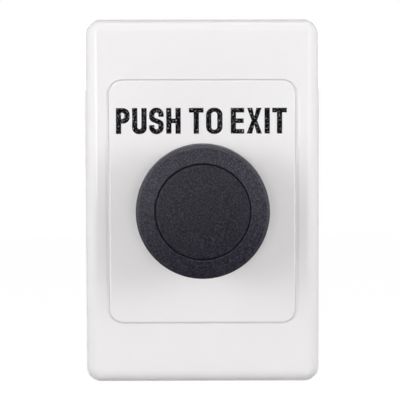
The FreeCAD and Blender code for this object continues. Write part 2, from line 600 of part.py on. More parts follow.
def make_base_plate():
    """The base plate: a flange on the wall and a raised panel that carries the operator."""
    body = new_body("base_plate", on_axis=False)
    surround_offset = "(sizes.surround_wall + sizes.flange_gap)"
    flange_width = f"(sizes.plate_width - 2 * {surround_offset})"
    flange_height = f"(sizes.plate_height - 2 * {surround_offset})"
    flange_face = "(0 - sizes.flange_thickness)"
    boss_face = "(0 - sizes.surround_depth + sizes.window_lip_depth + sizes.window_gap)"
    screw_place = f"({PANEL_HEIGHT} / 2 + sizes.screw_margin)"
    flange = rounded_rectangle(flange_width, flange_height, f"sizes.plate_corner - {surround_offset}")
    add(body, "flange", "front", flange_face, "0", flange)
    panel = rounded_rectangle(PANEL_WIDTH, PANEL_HEIGHT, "sizes.panel_corner")
    add(body, "panel", "front", PANEL_FACE, "0", panel)
    dress_edges(body, "Fillet", "panel_rounding", "sizes.panel_edge", lambda box: at_depth(box, PANEL_FACE))
    boss_places = (screw_place, f"0 - {screw_place}")
    bosses = [circle("sizes.screw_boss / 2", "0", z) for z in boss_places]
    add(body, "screw_bosses", "front", boss_face, f"{flange_face} + sizes.flange_thickness / 2", *bosses)
    recess = rounded_rectangle(
        f"{PANEL_WIDTH} - 2 * sizes.panel_wall",
        f"{PANEL_HEIGHT} - 2 * sizes.panel_wall",
        "sizes.panel_corner - sizes.panel_wall",
    )
    cut(body, "rear_recess", "front", PANEL_BACK, "0", recess)
    holes = [circle("sizes.screw_hole / 2", "0", z) for z in boss_places]
    cut(body, "screw_holes", "front", boss_face, "0", *holes)
    operator_hole = circle("sizes.operator_hole / 2", "0", "0 - sizes.button_drop")
    cut(body, "operator_hole", "front", PANEL_FACE, PANEL_BACK, operator_hole)
    key_notch = rectangle(
        "0 - sizes.key_width / 2",
        "sizes.key_width / 2",
        "0 - sizes.button_drop",
        "sizes.operator_hole / 2 + sizes.key_rise - sizes.button_drop",
    )
    cut(body, "key_notch", "front", PANEL_FACE, PANEL_BACK, key_notch)
    catch_depth = "(sizes.hook_reach - sizes.flange_gap + sizes.hook_clearance)"
    catch_half = "(sizes.hook_length / 2 + sizes.hook_clearance)"
    hook_middle = "(sizes.hook_spacing / 2)"
    catch_low, catch_high = f"{hook_middle} - {catch_half}", f"{hook_middle} + {catch_half}"
    side, beyond = f"{flange_width} / 2 - {catch_depth}", f"{flange_width} / 2 + 1"
    catches = in_four_quarters(side, beyond, catch_low, catch_high)
    catch_face = "(0 - sizes.hook_thickness - 1.5 * sizes.hook_clearance)"
    cut(body, "hook_catches", "front", catch_face, "0", *catches)
    low = f"({PANEL_HEIGHT} / 2 + sizes.relief_margin)"
    high = f"({flange_height} / 2 - sizes.relief_margin)"
    inner = "(sizes.screw_boss / 2 + sizes.relief_margin)"
    outer = f"({flange_width} / 2 - sizes.relief_margin)"
    reliefs = in_four_quarters(inner, outer, low, high)
    cut(body, "reliefs", "front", "0 - sizes.relief_depth", "0", *reliefs)


def make_operator_barrel():
    """The fixed half of the operator: bezel, threaded barrel and spring ledge in one moulding."""
    body = new_body("operator_barrel")
    bezel_radius = "(sizes.bezel_diameter / 2)"
    tail_hole = f"({TAIL_RADIUS} + sizes.loose_clearance)"
    profile = outline(
        (SEAL_RADIUS, BEZEL_FACE),
        (bezel_radius, BEZEL_FACE, "sizes.bezel_edge"),
        (bezel_radius, GASKET_FACE),
        (BARREL_RADIUS, GASKET_FACE),
        (BARREL_RADIUS, BARREL_END),
        (CHAMBER_RADIUS, BARREL_END),
        (CHAMBER_RADIUS, LEDGE_BACK),
        (tail_hole, LEDGE_BACK),
        (tail_hole, LEDGE_FACE),
        (GUIDE_RADIUS, LEDGE_FACE),
        (GUIDE_RADIUS, SEAL_FLOOR),
        (SEAL_RADIUS, SEAL_FLOOR),
    )
    turn(body, "barrel", profile)
    key_half = "(sizes.key_width / 2 - sizes.key_clearance)"
    key_top = "(sizes.operator_hole / 2 + sizes.key_rise - sizes.key_clearance)"
    key = rectangle(f"0 - {key_half}", key_half, f"{BARREL_RADIUS} - 1", key_top)
    add(body, "key", "front", PANEL_FACE, f"{PANEL_BACK} - sizes.key_clearance", key)
    slot_half = "(sizes.lug_width / 2 + sizes.key_clearance)"
    slots = rectangle(f"0 - {slot_half}", slot_half, f"0 - {BARREL_RADIUS} - 1", f"{BARREL_RADIUS} + 1")
    slot_floor = f"({BARREL_END} - sizes.lug_depth - sizes.key_clearance)"
    cut(body, "lug_slots", "front", slot_floor, BARREL_END, slots)


def make_gasket():
    """The flat rubber gasket between the bezel and the panel."""
    body = new_body("bezel_gasket")
    bore = "(sizes.operator_hole / 2 + sizes.fit_clearance)"
    add(body, "ring", "front", GASKET_FACE, PANEL_FACE, circle(bore), circle(f"{bore} + sizes.gasket_width"))


def make_stem_seal():
    """The wiper seal round the plunger: an outer ring with one slanted lip."""
    body = new_body("stem_seal")
    outer = f"({SEAL_RADIUS} - sizes.fit_clearance)"
    inner = f"({outer} - sizes.seal_body)"
    face = f"({BEZEL_FACE} + sizes.fit_clearance)"
    profile = outline(
        (GUIDE_RADIUS, face),
        (outer, face),
        (outer, SEAL_FLOOR),
        (inner, SEAL_FLOOR),
        (inner, f"{face} + sizes.seal_depth / 2"),
    )
    turn(body, "ring", profile)


def make_lock_washer():
    """The steel washer behind the panel, notched round its rim."""
    body = new_body("lock_washer")
    rim = "(sizes.washer_diameter / 2)"
    bore = f"({BARREL_RADIUS} + 2 * sizes.fit_clearance)"
    add(body, "ring", "front", PANEL_BACK, WASHER_BACK, circle(rim), circle(bore))
    half = "sizes.washer_notch / 2"
    notch = outline(
        (f"0 - {half}", f"{rim} + 1"),
        ("0", f"{rim} - sizes.washer_notch / 2"),
        (half, f"{rim} + 1"),
    )
    first = cut(body, "notch", "front", PANEL_BACK, WASHER_BACK, notch)
    repeat_round(body, "notches", first, "sizes.washer_teeth")


def make_fixing_nut():
    """The ring nut that clamps the operator on the panel, with notches for a spanner."""
    body = new_body("fixing_nut")
    rim = "(sizes.nut_diameter / 2)"
    add(body, "ring", "front", WASHER_BACK, NUT_BACK, circle(rim), circle(BARREL_FIT))
    half = "sizes.nut_grip_width / 2"
    grip = rectangle(f"0 - {half}", half, f"{rim} - sizes.nut_grip_depth", f"{rim} + 1")
    first = cut(body, "grip", "front", f"{WASHER_BACK} + sizes.washer_thickness", NUT_BACK, grip)
    repeat_round(body, "grips", first, "sizes.nut_grips")


def make_return_spring():
    """The spring behind the piston, between it and the barrel's ledge."""
    body = new_body("return_spring")
    low, high = f"{PISTON_BACK} + sizes.spring_play", f"{LEDGE_FACE} - sizes.spring_play"
    coil(body, "coil", "sizes.spring_wire", "sizes.spring_diameter", "sizes.spring_turns", low, high)


def make_mushroom_cap():
    """The mushroom cap: a flaring skirt, a ring that falls to the edge, a seat for the insert and a hub."""
    body = new_body("mushroom_cap")
    screw_hole = "(sizes.cap_screw_diameter / 2 + 2 * sizes.fit_clearance)"
    hub_bore = f"({PISTON_RADIUS} + sizes.fit_clearance)"
    profile = outline(
        (SEAT_RADIUS, f"{GROOVE_FACE} + sizes.insert_bevel"),
        (f"{SEAT_RADIUS} + sizes.insert_bevel", GROOVE_FACE),
        ("sizes.cap_diameter / 2", RING_EDGE, "sizes.cap_edge"),
        (SKIRT_RADIUS, SKIRT_EDGE),
        (f"{SKIRT_RADIUS} - sizes.cap_wall", SKIRT_EDGE),
        ("sizes.cap_diameter / 2 - sizes.cap_wall - sizes.cap_flare / 2", CAP_ROOF),
        (HUB_RADIUS, CAP_ROOF),
        (HUB_RADIUS, HUB_BACK),
        (hub_bore, HUB_BACK),
        (hub_bore, PLUNGER_FACE),
        (screw_hole, PLUNGER_FACE),
        (screw_hole, POCKET_FLOOR),
        (POCKET_RADIUS, POCKET_FLOOR),
        (POCKET_RADIUS, INSERT_BACK),
        (SEAT_RADIUS, INSERT_BACK),
    )
    turn(body, "cap", profile)
    rib = rectangle(
        "0 - sizes.cap_rib_thickness / 2",
        "sizes.cap_rib_thickness / 2",
        f"{HUB_RADIUS} - sizes.cap_wall / 4",
        f"{SKIRT_RADIUS} - sizes.cap_wall / 2",
    )
    rib_face, rib_back = f"{CAP_ROOF} - sizes.cap_roof / 4", f"{SKIRT_EDGE} - sizes.cap_rib_setback"
    first = add(body, "rib", "front", rib_face, rib_back, rib)
    repeat_round(body, "ribs", first, "sizes.cap_rib_count")


def make_cap_insert():
    """The slightly domed disc in the middle of the cap, with a snap ring behind it."""
    body = new_body("cap_insert")
    rim = "(sizes.insert_diameter / 2)"
    ring_outer = f"({POCKET_RADIUS} - sizes.fit_clearance)"
    ring_inner = f"({ring_outer} - sizes.insert_rib)"
    profile = outline(
        ("0", CROWN_TOP),
        (f"{rim} - sizes.insert_bevel", GROOVE_FACE),
        (rim, f"{GROOVE_FACE} + sizes.insert_bevel"),
        (rim, INSERT_BACK),
        (ring_outer, INSERT_BACK),
        (ring_outer, f"{INSERT_BACK} + sizes.insert_rib"),
        (ring_inner, f"{INSERT_BACK} + sizes.insert_rib"),
        (ring_inner, INSERT_BACK),
        ("0", INSERT_BACK),
        dome=0,
    )
    turn(body, "disc", profile)


def make_cap_screw():
    """The pan head screw through the cap's floor into the plunger."""
    body = new_body("cap_screw")
    head, shank = "(sizes.cap_screw_head / 2)", "(sizes.cap_screw_diameter / 2)"
    top = f"({POCKET_FLOOR} - sizes.cap_screw_head_height)"
    end = f"({POCKET_FLOOR} + sizes.cap_screw_length)"
    profile = outline(
        ("0", top),
        (head, top, "sizes.cap_screw_head_height / 2"),
        (head, POCKET_FLOOR),
        (shank, POCKET_FLOOR),
        (shank, end),
        ("0", end),
    )
    turn(body, "screw", profile)
    cut(body, "cross", "front", top, f"{top} + sizes.cross_depth", cross("0"))


def make_plunger():
    """The plunger: a piston in the barrel and a thinner tail through the ledge."""
    body = new_body("plunger")
    front_hole = "(sizes.cap_screw_diameter / 2 + sizes.fit_clearance)"
    front_floor = f"({POCKET_FLOOR} + sizes.cap_screw_length + sizes.loose_clearance)"
    rear_hole = "(sizes.tail_screw_diameter / 2 + sizes.fit_clearance)"
    rear_floor = f"({PUSH_PLATE_BACK} - sizes.tail_screw_length - sizes.loose_clearance)"
    profile = outline(
        (front_hole, PLUNGER_FACE),
        (PISTON_RADIUS, PLUNGER_FACE),
        (PISTON_RADIUS, PISTON_BACK),
        (TAIL_RADIUS, PISTON_BACK),
        (TAIL_RADIUS, PUSH_PLATE_FACE),
        (rear_hole, PUSH_PLATE_FACE),
        (rear_hole, rear_floor),
        ("0", rear_floor),
        ("0", front_floor),
        (front_hole, front_floor),
    )
    turn(body, "piston_and_tail", profile)


def make_push_plate():
    """The plate on the plunger's tail that presses both contact plungers."""
    body = new_body("push_plate")
    bore = "(sizes.tail_screw_diameter / 2 + sizes.fit_clearance)"
    mouth = "(sizes.tail_screw_head / 2 + sizes.fit_clearance)"
    rim = f"({GUIDE_RADIUS} - sizes.push_plate_inset)"
    profile = outline(
        (bore, PUSH_PLATE_FACE),
        (rim, PUSH_PLATE_FACE),
        (rim, PUSH_PLATE_BACK),
        (mouth, PUSH_PLATE_BACK),
        (bore, f"{PUSH_PLATE_BACK} - ({mouth} - {bore})"),
    )
    turn(body, "plate", profile)


def make_push_plate_screw():
    """The countersunk screw that holds the push plate, flush with it."""
    body = new_body("push_plate_screw")
    head, shank = "(sizes.tail_screw_head / 2)", "(sizes.tail_screw_diameter / 2)"
    end = f"({PUSH_PLATE_BACK} - sizes.tail_screw_length)"
    profile = outline(
        ("0", end),
        (shank, end),
        (shank, f"{PUSH_PLATE_BACK} - ({head} - {shank})"),
        (head, PUSH_PLATE_BACK),
        ("0", PUSH_PLATE_BACK),
    )
    turn(body, "screw", profile)
    cut(body, "cross", "front", f"{PUSH_PLATE_BACK} - sizes.cross_depth", PUSH_PLATE_BACK, cross("0"))


def make_contact_carrier():
    """The carrier on the barrel's end, with clips for the two contact blocks."""
    body = new_body("contact_carrier")
    clip_inner = f"({BLOCK_TOP} + sizes.clip_clearance)"
    clip_outer = f"({clip_inner} + sizes.clip_thickness)"
    plate = rounded_rectangle(f"2 * {CARRIER_HALF}", f"2 * {clip_outer}", "sizes.carrier_corner")
    add(body, "plate", "front", CARRIER_FACE, BARREL_END, plate, circle(BARREL_FIT))
    pocket_low = f"({BARREL_FIT} + sizes.carrier_wall)"
    pocket_top = f"({clip_outer} - sizes.carrier_wall)"
    pocket_side = f"({CARRIER_HALF} - sizes.carrier_wall)"
    pockets = above_and_below(f"0 - {pocket_side}", pocket_side, pocket_low, pocket_top)
    pocket_floor = f"({CARRIER_FACE} + sizes.carrier_pocket_depth)"
    cut(body, "front_pockets", "front", CARRIER_FACE, pocket_floor, *pockets)
    lug_half = "(sizes.lug_width / 2)"
    lug_tip = f"({BARREL_RADIUS} - sizes.lug_height)"
    lugs = above_and_below(f"0 - {lug_half}", lug_half, lug_tip, f"{BARREL_RADIUS} + 1")
    add(body, "lugs", "front", f"{BARREL_END} - sizes.lug_depth", BARREL_END, *lugs)
    clip_left = f"(({BLOCK_PITCH} - sizes.clip_width) / 2)"
    clip_right = f"(({BLOCK_PITCH} + sizes.clip_width) / 2)"
    clip_end = f"({BARREL_END} + sizes.clip_length)"
    clips = in_four_quarters(clip_left, clip_right, clip_inner, clip_outer)
    add(body, "clips", "front", BARREL_END, clip_end, *clips)
    nibs = in_four_quarters(clip_left, clip_right, f"{clip_inner} - sizes.clip_nib", clip_inner)
    add(body, "nibs", "front", f"{clip_end} - sizes.clip_nib_length", clip_end, *nibs)
    lock_place = f"({BARREL_END} - sizes.carrier_thickness / 2)"
    lock_bore = circle("sizes.lock_screw_diameter / 2 + sizes.fit_clearance", lock_place, "0")
    cut(body, "lock_bore", "side", BARREL_RADIUS, f"{CARRIER_HALF} + 1", lock_bore)


def make_carrier_lock_screw():
    """The slotted set screw that locks the carrier on the barrel."""
    body = new_body("carrier_lock_screw")
    lock_place = f"({BARREL_END} - sizes.carrier_thickness / 2)"
    head = f"({CARRIER_HALF} + sizes.lock_screw_proud)"
    radius = "(sizes.lock_screw_diameter / 2)"
    tip = f"({BARREL_RADIUS} + sizes.fit_clearance)"
    add(body, "screw", "side", tip, head, circle(radius, lock_place, "0"))
    half = "sizes.lock_screw_slot / 2"
    slot = rectangle(f"{lock_place} - {radius}", f"{lock_place} + {radius}", f"0 - {half}", half)
    cut(body, "slot", "side", f"{head} - sizes.lock_screw_slot", head, slot)


def block_body(label, side, upside_down=False):
    """A body in a contact block. Side is 1 for the block on the right, -1 for the one turned to the left."""
    body = new_body(label)
    turned = (side < 0) != upside_down
    body.Placement = Placement(Vector(0, 0, 0), Rotation(Vector(0, 1, 0), 180 if turned else 0))
    body.setExpression("Placement.Base.x", f"{side} * {BLOCK_PITCH} / 2")
    body.setExpression("Placement.Base.z", "0 - sizes.button_drop")
    return body


def block_profile():
    """A contact block seen from the side, with its rear corners bevelled."""
    inset = f"({BLOCK_TOP} - sizes.block_bevel)"
    return outline(
        (BLOCK_FACE, f"0 - {BLOCK_TOP}"),
        (f"{BLOCK_BACK} - sizes.block_bevel", f"0 - {BLOCK_TOP}"),
        (BLOCK_BACK, f"0 - {inset}"),
        (BLOCK_BACK, inset),
        (f"{BLOCK_BACK} - sizes.block_bevel", BLOCK_TOP),
        (BLOCK_FACE, BLOCK_TOP),
    )


def make_block_housing(kind, side):
    """The moulded housing of a contact block: a channel for its plunger and a chamber for each terminal."""
    body = block_body(f"{kind}_block_housing", side)
    add(body, "form", "side", f"0 - {BLOCK_HALF}", COVER_PLANE, block_profile())
    channel = "(sizes.slider_height / 2 + sizes.loose_clearance)"
    upper = [
        (BLOCK_FLOOR, TERMINAL_INNER),
        (SHELF, TERMINAL_INNER),
        (SHELF, CHAMBER_TOP),
        (BLOCK_ROOF, CHAMBER_TOP),
        (BLOCK_ROOF, TERMINAL_INNER),
        (PASSAGE_BACK, TERMINAL_INNER),
        (PASSAGE_BACK, channel),
        (BLOCK_ROOF, channel),
    ]
    lower = [(y, f"0 - {z}") for y, z in reversed(upper)]
    cut(body, "inside", "side", f"0 - {COVER_PLANE}", COVER_PLANE, outline(*upper, *lower))
    tip_hole = circle("sizes.tip_diameter / 2 + sizes.tip_clearance")
    cut(body, "tip_hole", "front", BLOCK_FACE, BLOCK_FLOOR, tip_hole)
    both = (TERMINAL_PLACE, f"0 - {TERMINAL_PLACE}")
    access = [circle("sizes.access_hole / 2", "0", z) for z in both]
    cut(body, "access_holes", "front", BLOCK_ROOF, BLOCK_BACK, *access)
    shank = "(sizes.terminal_screw / 2 + sizes.loose_clearance)"
    screw_end = f"({CLAMP_BACK} - sizes.terminal_screw_length - sizes.loose_clearance)"
    cut(body, "screw_room", "front", screw_end, SHELF, *[circle(shank, "0", z) for z in both])
    wire_face = f"({STRIP_BACK} + sizes.fit_clearance)"
    entry_half = "sizes.wire_hole_width / 2"
    entry = rectangle(f"0 - {entry_half}", entry_half, wire_face, f"{wire_face} + sizes.wire_hole_depth")
    wire_hole = cut(body, "wire_hole", "top", CHAMBER_TOP, f"{BLOCK_TOP} + 1", entry)
    nib_end = f"({BLOCK_FACE} + sizes.clip_length + sizes.clip_clearance)"
    nib_start = f"({nib_end} - sizes.clip_nib_length - 2 * sizes.clip_clearance)"
    nib_half = "(sizes.clip_width / 2 + sizes.clip_clearance)"
    nib_room = rectangle(f"0 - {nib_half}", nib_half, nib_start, nib_end)
    notch_floor = f"({BLOCK_TOP} - sizes.clip_nib - sizes.clip_clearance)"
    notch = cut(body, "clip_notch", "top", notch_floor, f"{BLOCK_TOP} + 1", nib_room)
    mirror(body, "lower_openings", [wire_hole, notch], "XY_Plane")


def make_block_cover(kind, side):
    """The flat cover that closes the open side of a contact block."""
    body = block_body(f"{kind}_block_cover", side)
    add(body, "plate", "side", COVER_PLANE, BLOCK_HALF, block_profile())


def make_contact_plunger(kind, side):
    """The coloured plunger of a contact block, with a window for the bridge and a bore for its spring."""
    body = block_body(f"{kind}_contact_plunger", side)
    half_width = f"({COVER_PLANE} - sizes.loose_clearance)"
    half_height = "(sizes.slider_height / 2)"
    form = rectangle(f"0 - {half_width}", half_width, f"0 - {half_height}", half_height)
    add(body, "slider", "front", SLIDER_FACE, SLIDER_BACK, form)
    add(body, "tip", "front", TIP_FACE, SLIDER_FACE, circle("sizes.tip_diameter / 2"))
    tip_edge = "(sizes.tip_diameter / 8)"
    dress_edges(body, "Fillet", "tip_rounding", tip_edge, lambda box: at_depth(box, TIP_FACE))
    cut(body, "spring_bore", "front", BORE_FLOOR, SLIDER_BACK, circle("sizes.slider_bore / 2"))
    opening = "(sizes.bridge_width / 2 + sizes.loose_clearance)"
    window = rectangle(f"0 - {opening}", opening, WINDOW_FACE, WINDOW_BACK)
    cut(body, "window", "top", f"0 - {half_height}", half_height, window)


def make_bridge_contact(kind, side, face, back, rivet_low, rivet_high):
    """The brass bridge that joins the two fixed contacts, with its two rivets."""
    body = block_body(f"{kind}_bridge_contact", side)
    half = "(sizes.bridge_width / 2)"
    strip = rectangle(f"0 - {half}", half, "0 - sizes.bridge_length / 2", "sizes.bridge_length / 2")
    add(body, "strip", "front", face, back, strip)
    both = ("sizes.rivet_place", "0 - sizes.rivet_place")
    rivets = [circle("sizes.rivet_diameter / 2", "0", z) for z in both]
    add(body, "rivets", "front", rivet_low, rivet_high, *rivets)


def make_block_springs(kind, side, contact_low, contact_high):
    """The spring that returns a contact plunger, and the one that presses its bridge."""
    for name, part, low, high in (
        ("block_spring", "slider_spring", BORE_FLOOR, BLOCK_ROOF),
        ("contact_spring", "contact_spring", contact_low, contact_high),
    ):
        body = block_body(f"{kind}_{name}", side)
        form = [f"sizes.{part}_{size}" for size in ("wire", "diameter", "turns")]
        coil(body, "coil", *form, f"{low} + sizes.spring_play", f"{high} - sizes.spring_play")


def make_terminal(kind, end, side):
    """One fixed contact: a strip from its rivet to the terminal screw. The break block's is bent forward."""
    body = block_body(f"{kind}_terminal_{end}", side, upside_down=end == "bottom")
    narrow_end = f"({TERMINAL_INNER} + sizes.loose_clearance)"
    if kind == "make":
        strip = rectangle(SHELF, STRIP_BACK, STRIP_START, narrow_end)
        rivet_low, rivet_high = f"{SHELF} - sizes.rivet_height", SHELF
    else:
        leg_outer = f"({TERMINAL_INNER} - sizes.loose_clearance)"
        leg_inner = f"({leg_outer} - sizes.strip_thickness)"
        strip = outline(
            (BREAK_STRIP_FACE, STRIP_START),
            (BREAK_STRIP_BACK, STRIP_START),
            (BREAK_STRIP_BACK, leg_inner),
            (STRIP_BACK, leg_inner),
            (STRIP_BACK, narrow_end),
            (SHELF, narrow_end),
            (SHELF, leg_outer),
            (BREAK_STRIP_FACE, leg_outer),
        )
        rivet_low, rivet_high = BREAK_STRIP_BACK, f"{BREAK_STRIP_BACK} + sizes.rivet_height"
    add(body, "strip", "side", "0 - sizes.bridge_width / 2", "sizes.bridge_width / 2", strip)
    wide = rectangle("0 - sizes.terminal_width / 2", "sizes.terminal_width / 2", narrow_end, STRIP_TOP)
    add(body, "terminal_end", "front", SHELF, STRIP_BACK, wide)
    rivet = circle("sizes.rivet_diameter / 2", "0", "sizes.rivet_place")
    add(body, "rivet", "front", rivet_low, rivet_high, rivet)
    hole = circle("sizes.terminal_screw / 2 + sizes.fit_clearance", "0", TERMINAL_PLACE)
    cut(body, "screw_hole", "front", SHELF, STRIP_BACK, hole)


def make_terminal_fasteners(kind, side):
    """The two terminal screws of a block, backed off, and their wire clamp plates."""
    both = (TERMINAL_PLACE, f"0 - {TERMINAL_PLACE}")
    body = block_body(f"{kind}_terminal_screws", side)
    head_back = f"({CLAMP_BACK} + sizes.terminal_head_height)"
    heads = [circle("sizes.terminal_head / 2", "0", z) for z in both]
    add(body, "heads", "front", CLAMP_BACK, head_back, *heads)
    screw_end = f"({CLAMP_BACK} - sizes.terminal_screw_length)"
    shanks = [circle("sizes.terminal_screw / 2", "0", z) for z in both]
    add(body, "shanks", "front", screw_end, CLAMP_BACK, *shanks)
    cut(body, "crosses", "front", f"{head_back} - sizes.cross_depth", head_back, *[cross(z) for z in both])
    body = block_body(f"{kind}_clamp_plates", side)
    half = "(sizes.clamp_size / 2)"
    plates = [rectangle(f"0 - {half}", half, f"{z} - {half}", f"{z} + {half}") for z in both]
    hole = "(sizes.terminal_screw / 2 + 3 * sizes.fit_clearance)"
    add(body, "plates", "front", CLAMP_FACE, CLAMP_BACK, *plates, *[circle(hole, "0", z) for z in both])


def make_contact_block(kind, side, bridge, contact_room):
    """All the pieces of one contact block."""
    make_block_housing(kind, side)
    make_block_cover(kind, side)
    make_contact_plunger(kind, side)
    make_bridge_contact(kind, side, *bridge)
    make_block_springs(kind, side, *contact_room)
    make_terminal(kind, "top", side)
    make_terminal(kind, "bottom", side)
    make_terminal_fasteners(kind, side)


make_surround_cover()
make_base_plate()
make_operator_barrel()
make_gasket()
make_stem_seal()
make_lock_washer()
make_fixing_nut()
make_return_spring()
make_mushroom_cap()
make_cap_insert()
make_cap_screw()
make_plunger()
make_push_plate()
make_push_plate_screw()
make_contact_carrier()
make_carrier_lock_screw()
make_contact_block(
    "make",
    -1,
    (MAKE_BRIDGE_FACE, MAKE_BRIDGE_BACK, MAKE_BRIDGE_BACK, MAKE_RIVET_BACK),
    (WINDOW_FACE, MAKE_BRIDGE_FACE),
)
make_contact_block(
    "break",
    1,
    (BREAK_BRIDGE_FACE, BREAK_BRIDGE_BACK, f"{BREAK_BRIDGE_FACE} - sizes.rivet_height", BREAK_BRIDGE_FACE),
    (BREAK_BRIDGE_BACK, WINDOW_BACK),
)
doc.recompute()

failed = [item.Name for item in doc.Objects if "Invalid" in item.State or "Error" in item.State]
if failed:
    raise RuntimeError(f"these did not build: {failed}")
for body in pieces:
    if body.Shape.isNull() or not body.Shape.isValid():
        raise RuntimeError(f"{body.Label} has no valid shape")
os.makedirs("parts", exist_ok=True)
for body in pieces:
    body.Shape.exportStep(f"parts/{body.Label}.step")
    print(f"{body.Label}: {len(body.Shape.Solids)} solid(s), {body.Shape.Volume:.1f} mm3")
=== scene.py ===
# %% [markdown]
# # An exit push button, dressed for the camera
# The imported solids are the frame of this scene. They fix every size and every place, and the scene gives
# each piece its finish, or puts a finer surface where a solid is too plain to look real.
# Everything is in metres in the frame's own axes: +X to the right, +Z up, and +Y into the wall.

# %% Load the frame
import json
import math

import bmesh
import bpy
import numpy as np
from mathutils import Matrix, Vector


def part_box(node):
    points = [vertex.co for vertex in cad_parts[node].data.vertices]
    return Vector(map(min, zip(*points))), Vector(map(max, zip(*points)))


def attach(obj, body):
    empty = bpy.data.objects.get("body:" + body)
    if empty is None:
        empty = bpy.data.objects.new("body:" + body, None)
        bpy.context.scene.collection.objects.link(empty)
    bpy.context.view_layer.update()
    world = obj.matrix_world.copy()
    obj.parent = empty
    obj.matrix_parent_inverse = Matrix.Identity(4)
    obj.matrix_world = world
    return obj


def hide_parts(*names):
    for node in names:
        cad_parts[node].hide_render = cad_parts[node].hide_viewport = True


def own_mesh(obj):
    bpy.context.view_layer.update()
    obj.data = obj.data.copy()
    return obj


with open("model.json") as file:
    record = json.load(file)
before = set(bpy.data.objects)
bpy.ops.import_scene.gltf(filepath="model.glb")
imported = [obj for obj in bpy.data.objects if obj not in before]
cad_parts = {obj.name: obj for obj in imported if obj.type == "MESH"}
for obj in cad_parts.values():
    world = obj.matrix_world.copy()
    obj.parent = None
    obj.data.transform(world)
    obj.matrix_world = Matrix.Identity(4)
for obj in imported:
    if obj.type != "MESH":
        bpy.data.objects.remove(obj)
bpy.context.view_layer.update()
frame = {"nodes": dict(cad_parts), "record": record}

MM = 0.001
BODY_OF = {node: body for body, nodes in frame["record"]["behaviour"]["bodies"].items() for node in nodes}
SLOT_OF = {part["node"]: part["material_slot"] for part in frame["record"]["subparts"]}


def box_mm(node):
    """A node's lowest and highest corner, in millimetres."""
    low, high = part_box(node)
    return np.array(low) / MM, np.array(high) / MM


AXIS = float(sum(corner[2] for corner in box_mm("mushroom_cap")) / 2)
print(f"{len(SLOT_OF)} nodes; the button's axis is {-AXIS:.2f} mm below the plate's centre")

# %% [markdown]
# A colour is written as it looks on a screen, in hex. Blender mixes light in linear numbers, so one function
# turns the one into the other. A second function adds a node to a material or to the world, sets its
# properties and fills its inputs, either with a value or with another node's output.

# %% Colours and nodes


def linear(colour):
    """An sRGB hex colour as linear light: c becomes ((c + 0.055) / 1.055) to the power 2.4, or c / 12.92."""
    channels = [int(colour[place : place + 2], 16) / 255 for place in (1, 3, 5)]
    return [c / 12.92 if c <= 0.04045 else ((c + 0.055) / 1.055) ** 2.4 for c in channels] + [1.0]


def add_node(tree, kind, inputs=None, **settings):
    """Adds a shader node to a tree, sets its properties and fills or links its inputs."""
    made = tree.nodes.new("ShaderNode" + kind)
    for name, value in settings.items():
        setattr(made, name, value)
    for name, value in (inputs or {}).items():
        if isinstance(value, bpy.types.NodeSocket):
            tree.links.new(value, made.inputs[name])
        else:
            made.inputs[name].default_value = value
    return made


print("middle grey is", round(linear("#808080")[0], 3), "in linear light")

# %% [markdown]
# ## The camera
# The photograph looks at the plate almost square, from a little above its middle. The plate's sides draw
# together slightly towards the bottom, and the cap looks 8 percent too large for its 40 mm because it is
# nearer. Those two facts fix the camera: 0.45 m away, 23.5 mm above the centre, tilted 3 degrees down.

# %% Camera
LENS, SENSOR = 124.68, 36.0
CAMERA_PLACE = (-0.0022, -0.44565, 0.0235)
TILT_DOWN, ROLL, TURN = 2.995, 0.15, -0.197
camera = bpy.data.objects.new("camera", bpy.data.cameras.new("camera"))
camera.data.lens, camera.data.sensor_width = LENS, SENSOR
camera.location = CAMERA_PLACE
camera.rotation_euler = [math.radians(angle) for angle in (90 - TILT_DOWN, ROLL, TURN)]
bpy.context.scene.collection.objects.link(camera)
bpy.context.scene.camera = camera
bpy.context.scene.view_settings.view_transform = "Standard"
print(f"camera with a {LENS} mm lens, {abs(camera.location.y):.3f} m in front of the wall plane")

# %% [markdown]
# ## The light
# Most of the light comes from two wings, 48 degrees to the left and right of the lens, and from a lamp
# behind the lens at the lens's own height. Each wing throws a soft shadow of the cap to the other side, and
# the right wing is the stronger one, so the left shadow is the deeper one. The lamp behind the lens fills
# them both, and the cap hides the shadow that it throws. Two key lamps draw the bright lines down the
# plate's rounded sides: the left one is slim and strong, the right one broader and weaker. Lamps above the
# wings, at both sides and overhead keep the plate's outer edges pale and brighten the cap's upper rim, and
# two lamps at the rear light the parts behind the panel.
# The wings and the lamp behind the lens don't show in reflections, where they would be glaring bands on the
# gloss. A broad, weak veil beside each wing shows there instead.

# %% Lamps


def softbox(name, place, size, watts):
    """A rectangular lamp at a place in metres that faces the middle of the plate."""
    lamp = bpy.data.lights.new(name, "AREA")
    lamp.shape = "RECTANGLE"
    lamp.size, lamp.size_y = size
    lamp.energy = watts
    holder = bpy.data.objects.new(name, lamp)
    holder.location = place
    holder.rotation_euler = holder.location.to_track_quat("Z", "Y").to_euler()
    bpy.context.scene.collection.objects.link(holder)
    return holder


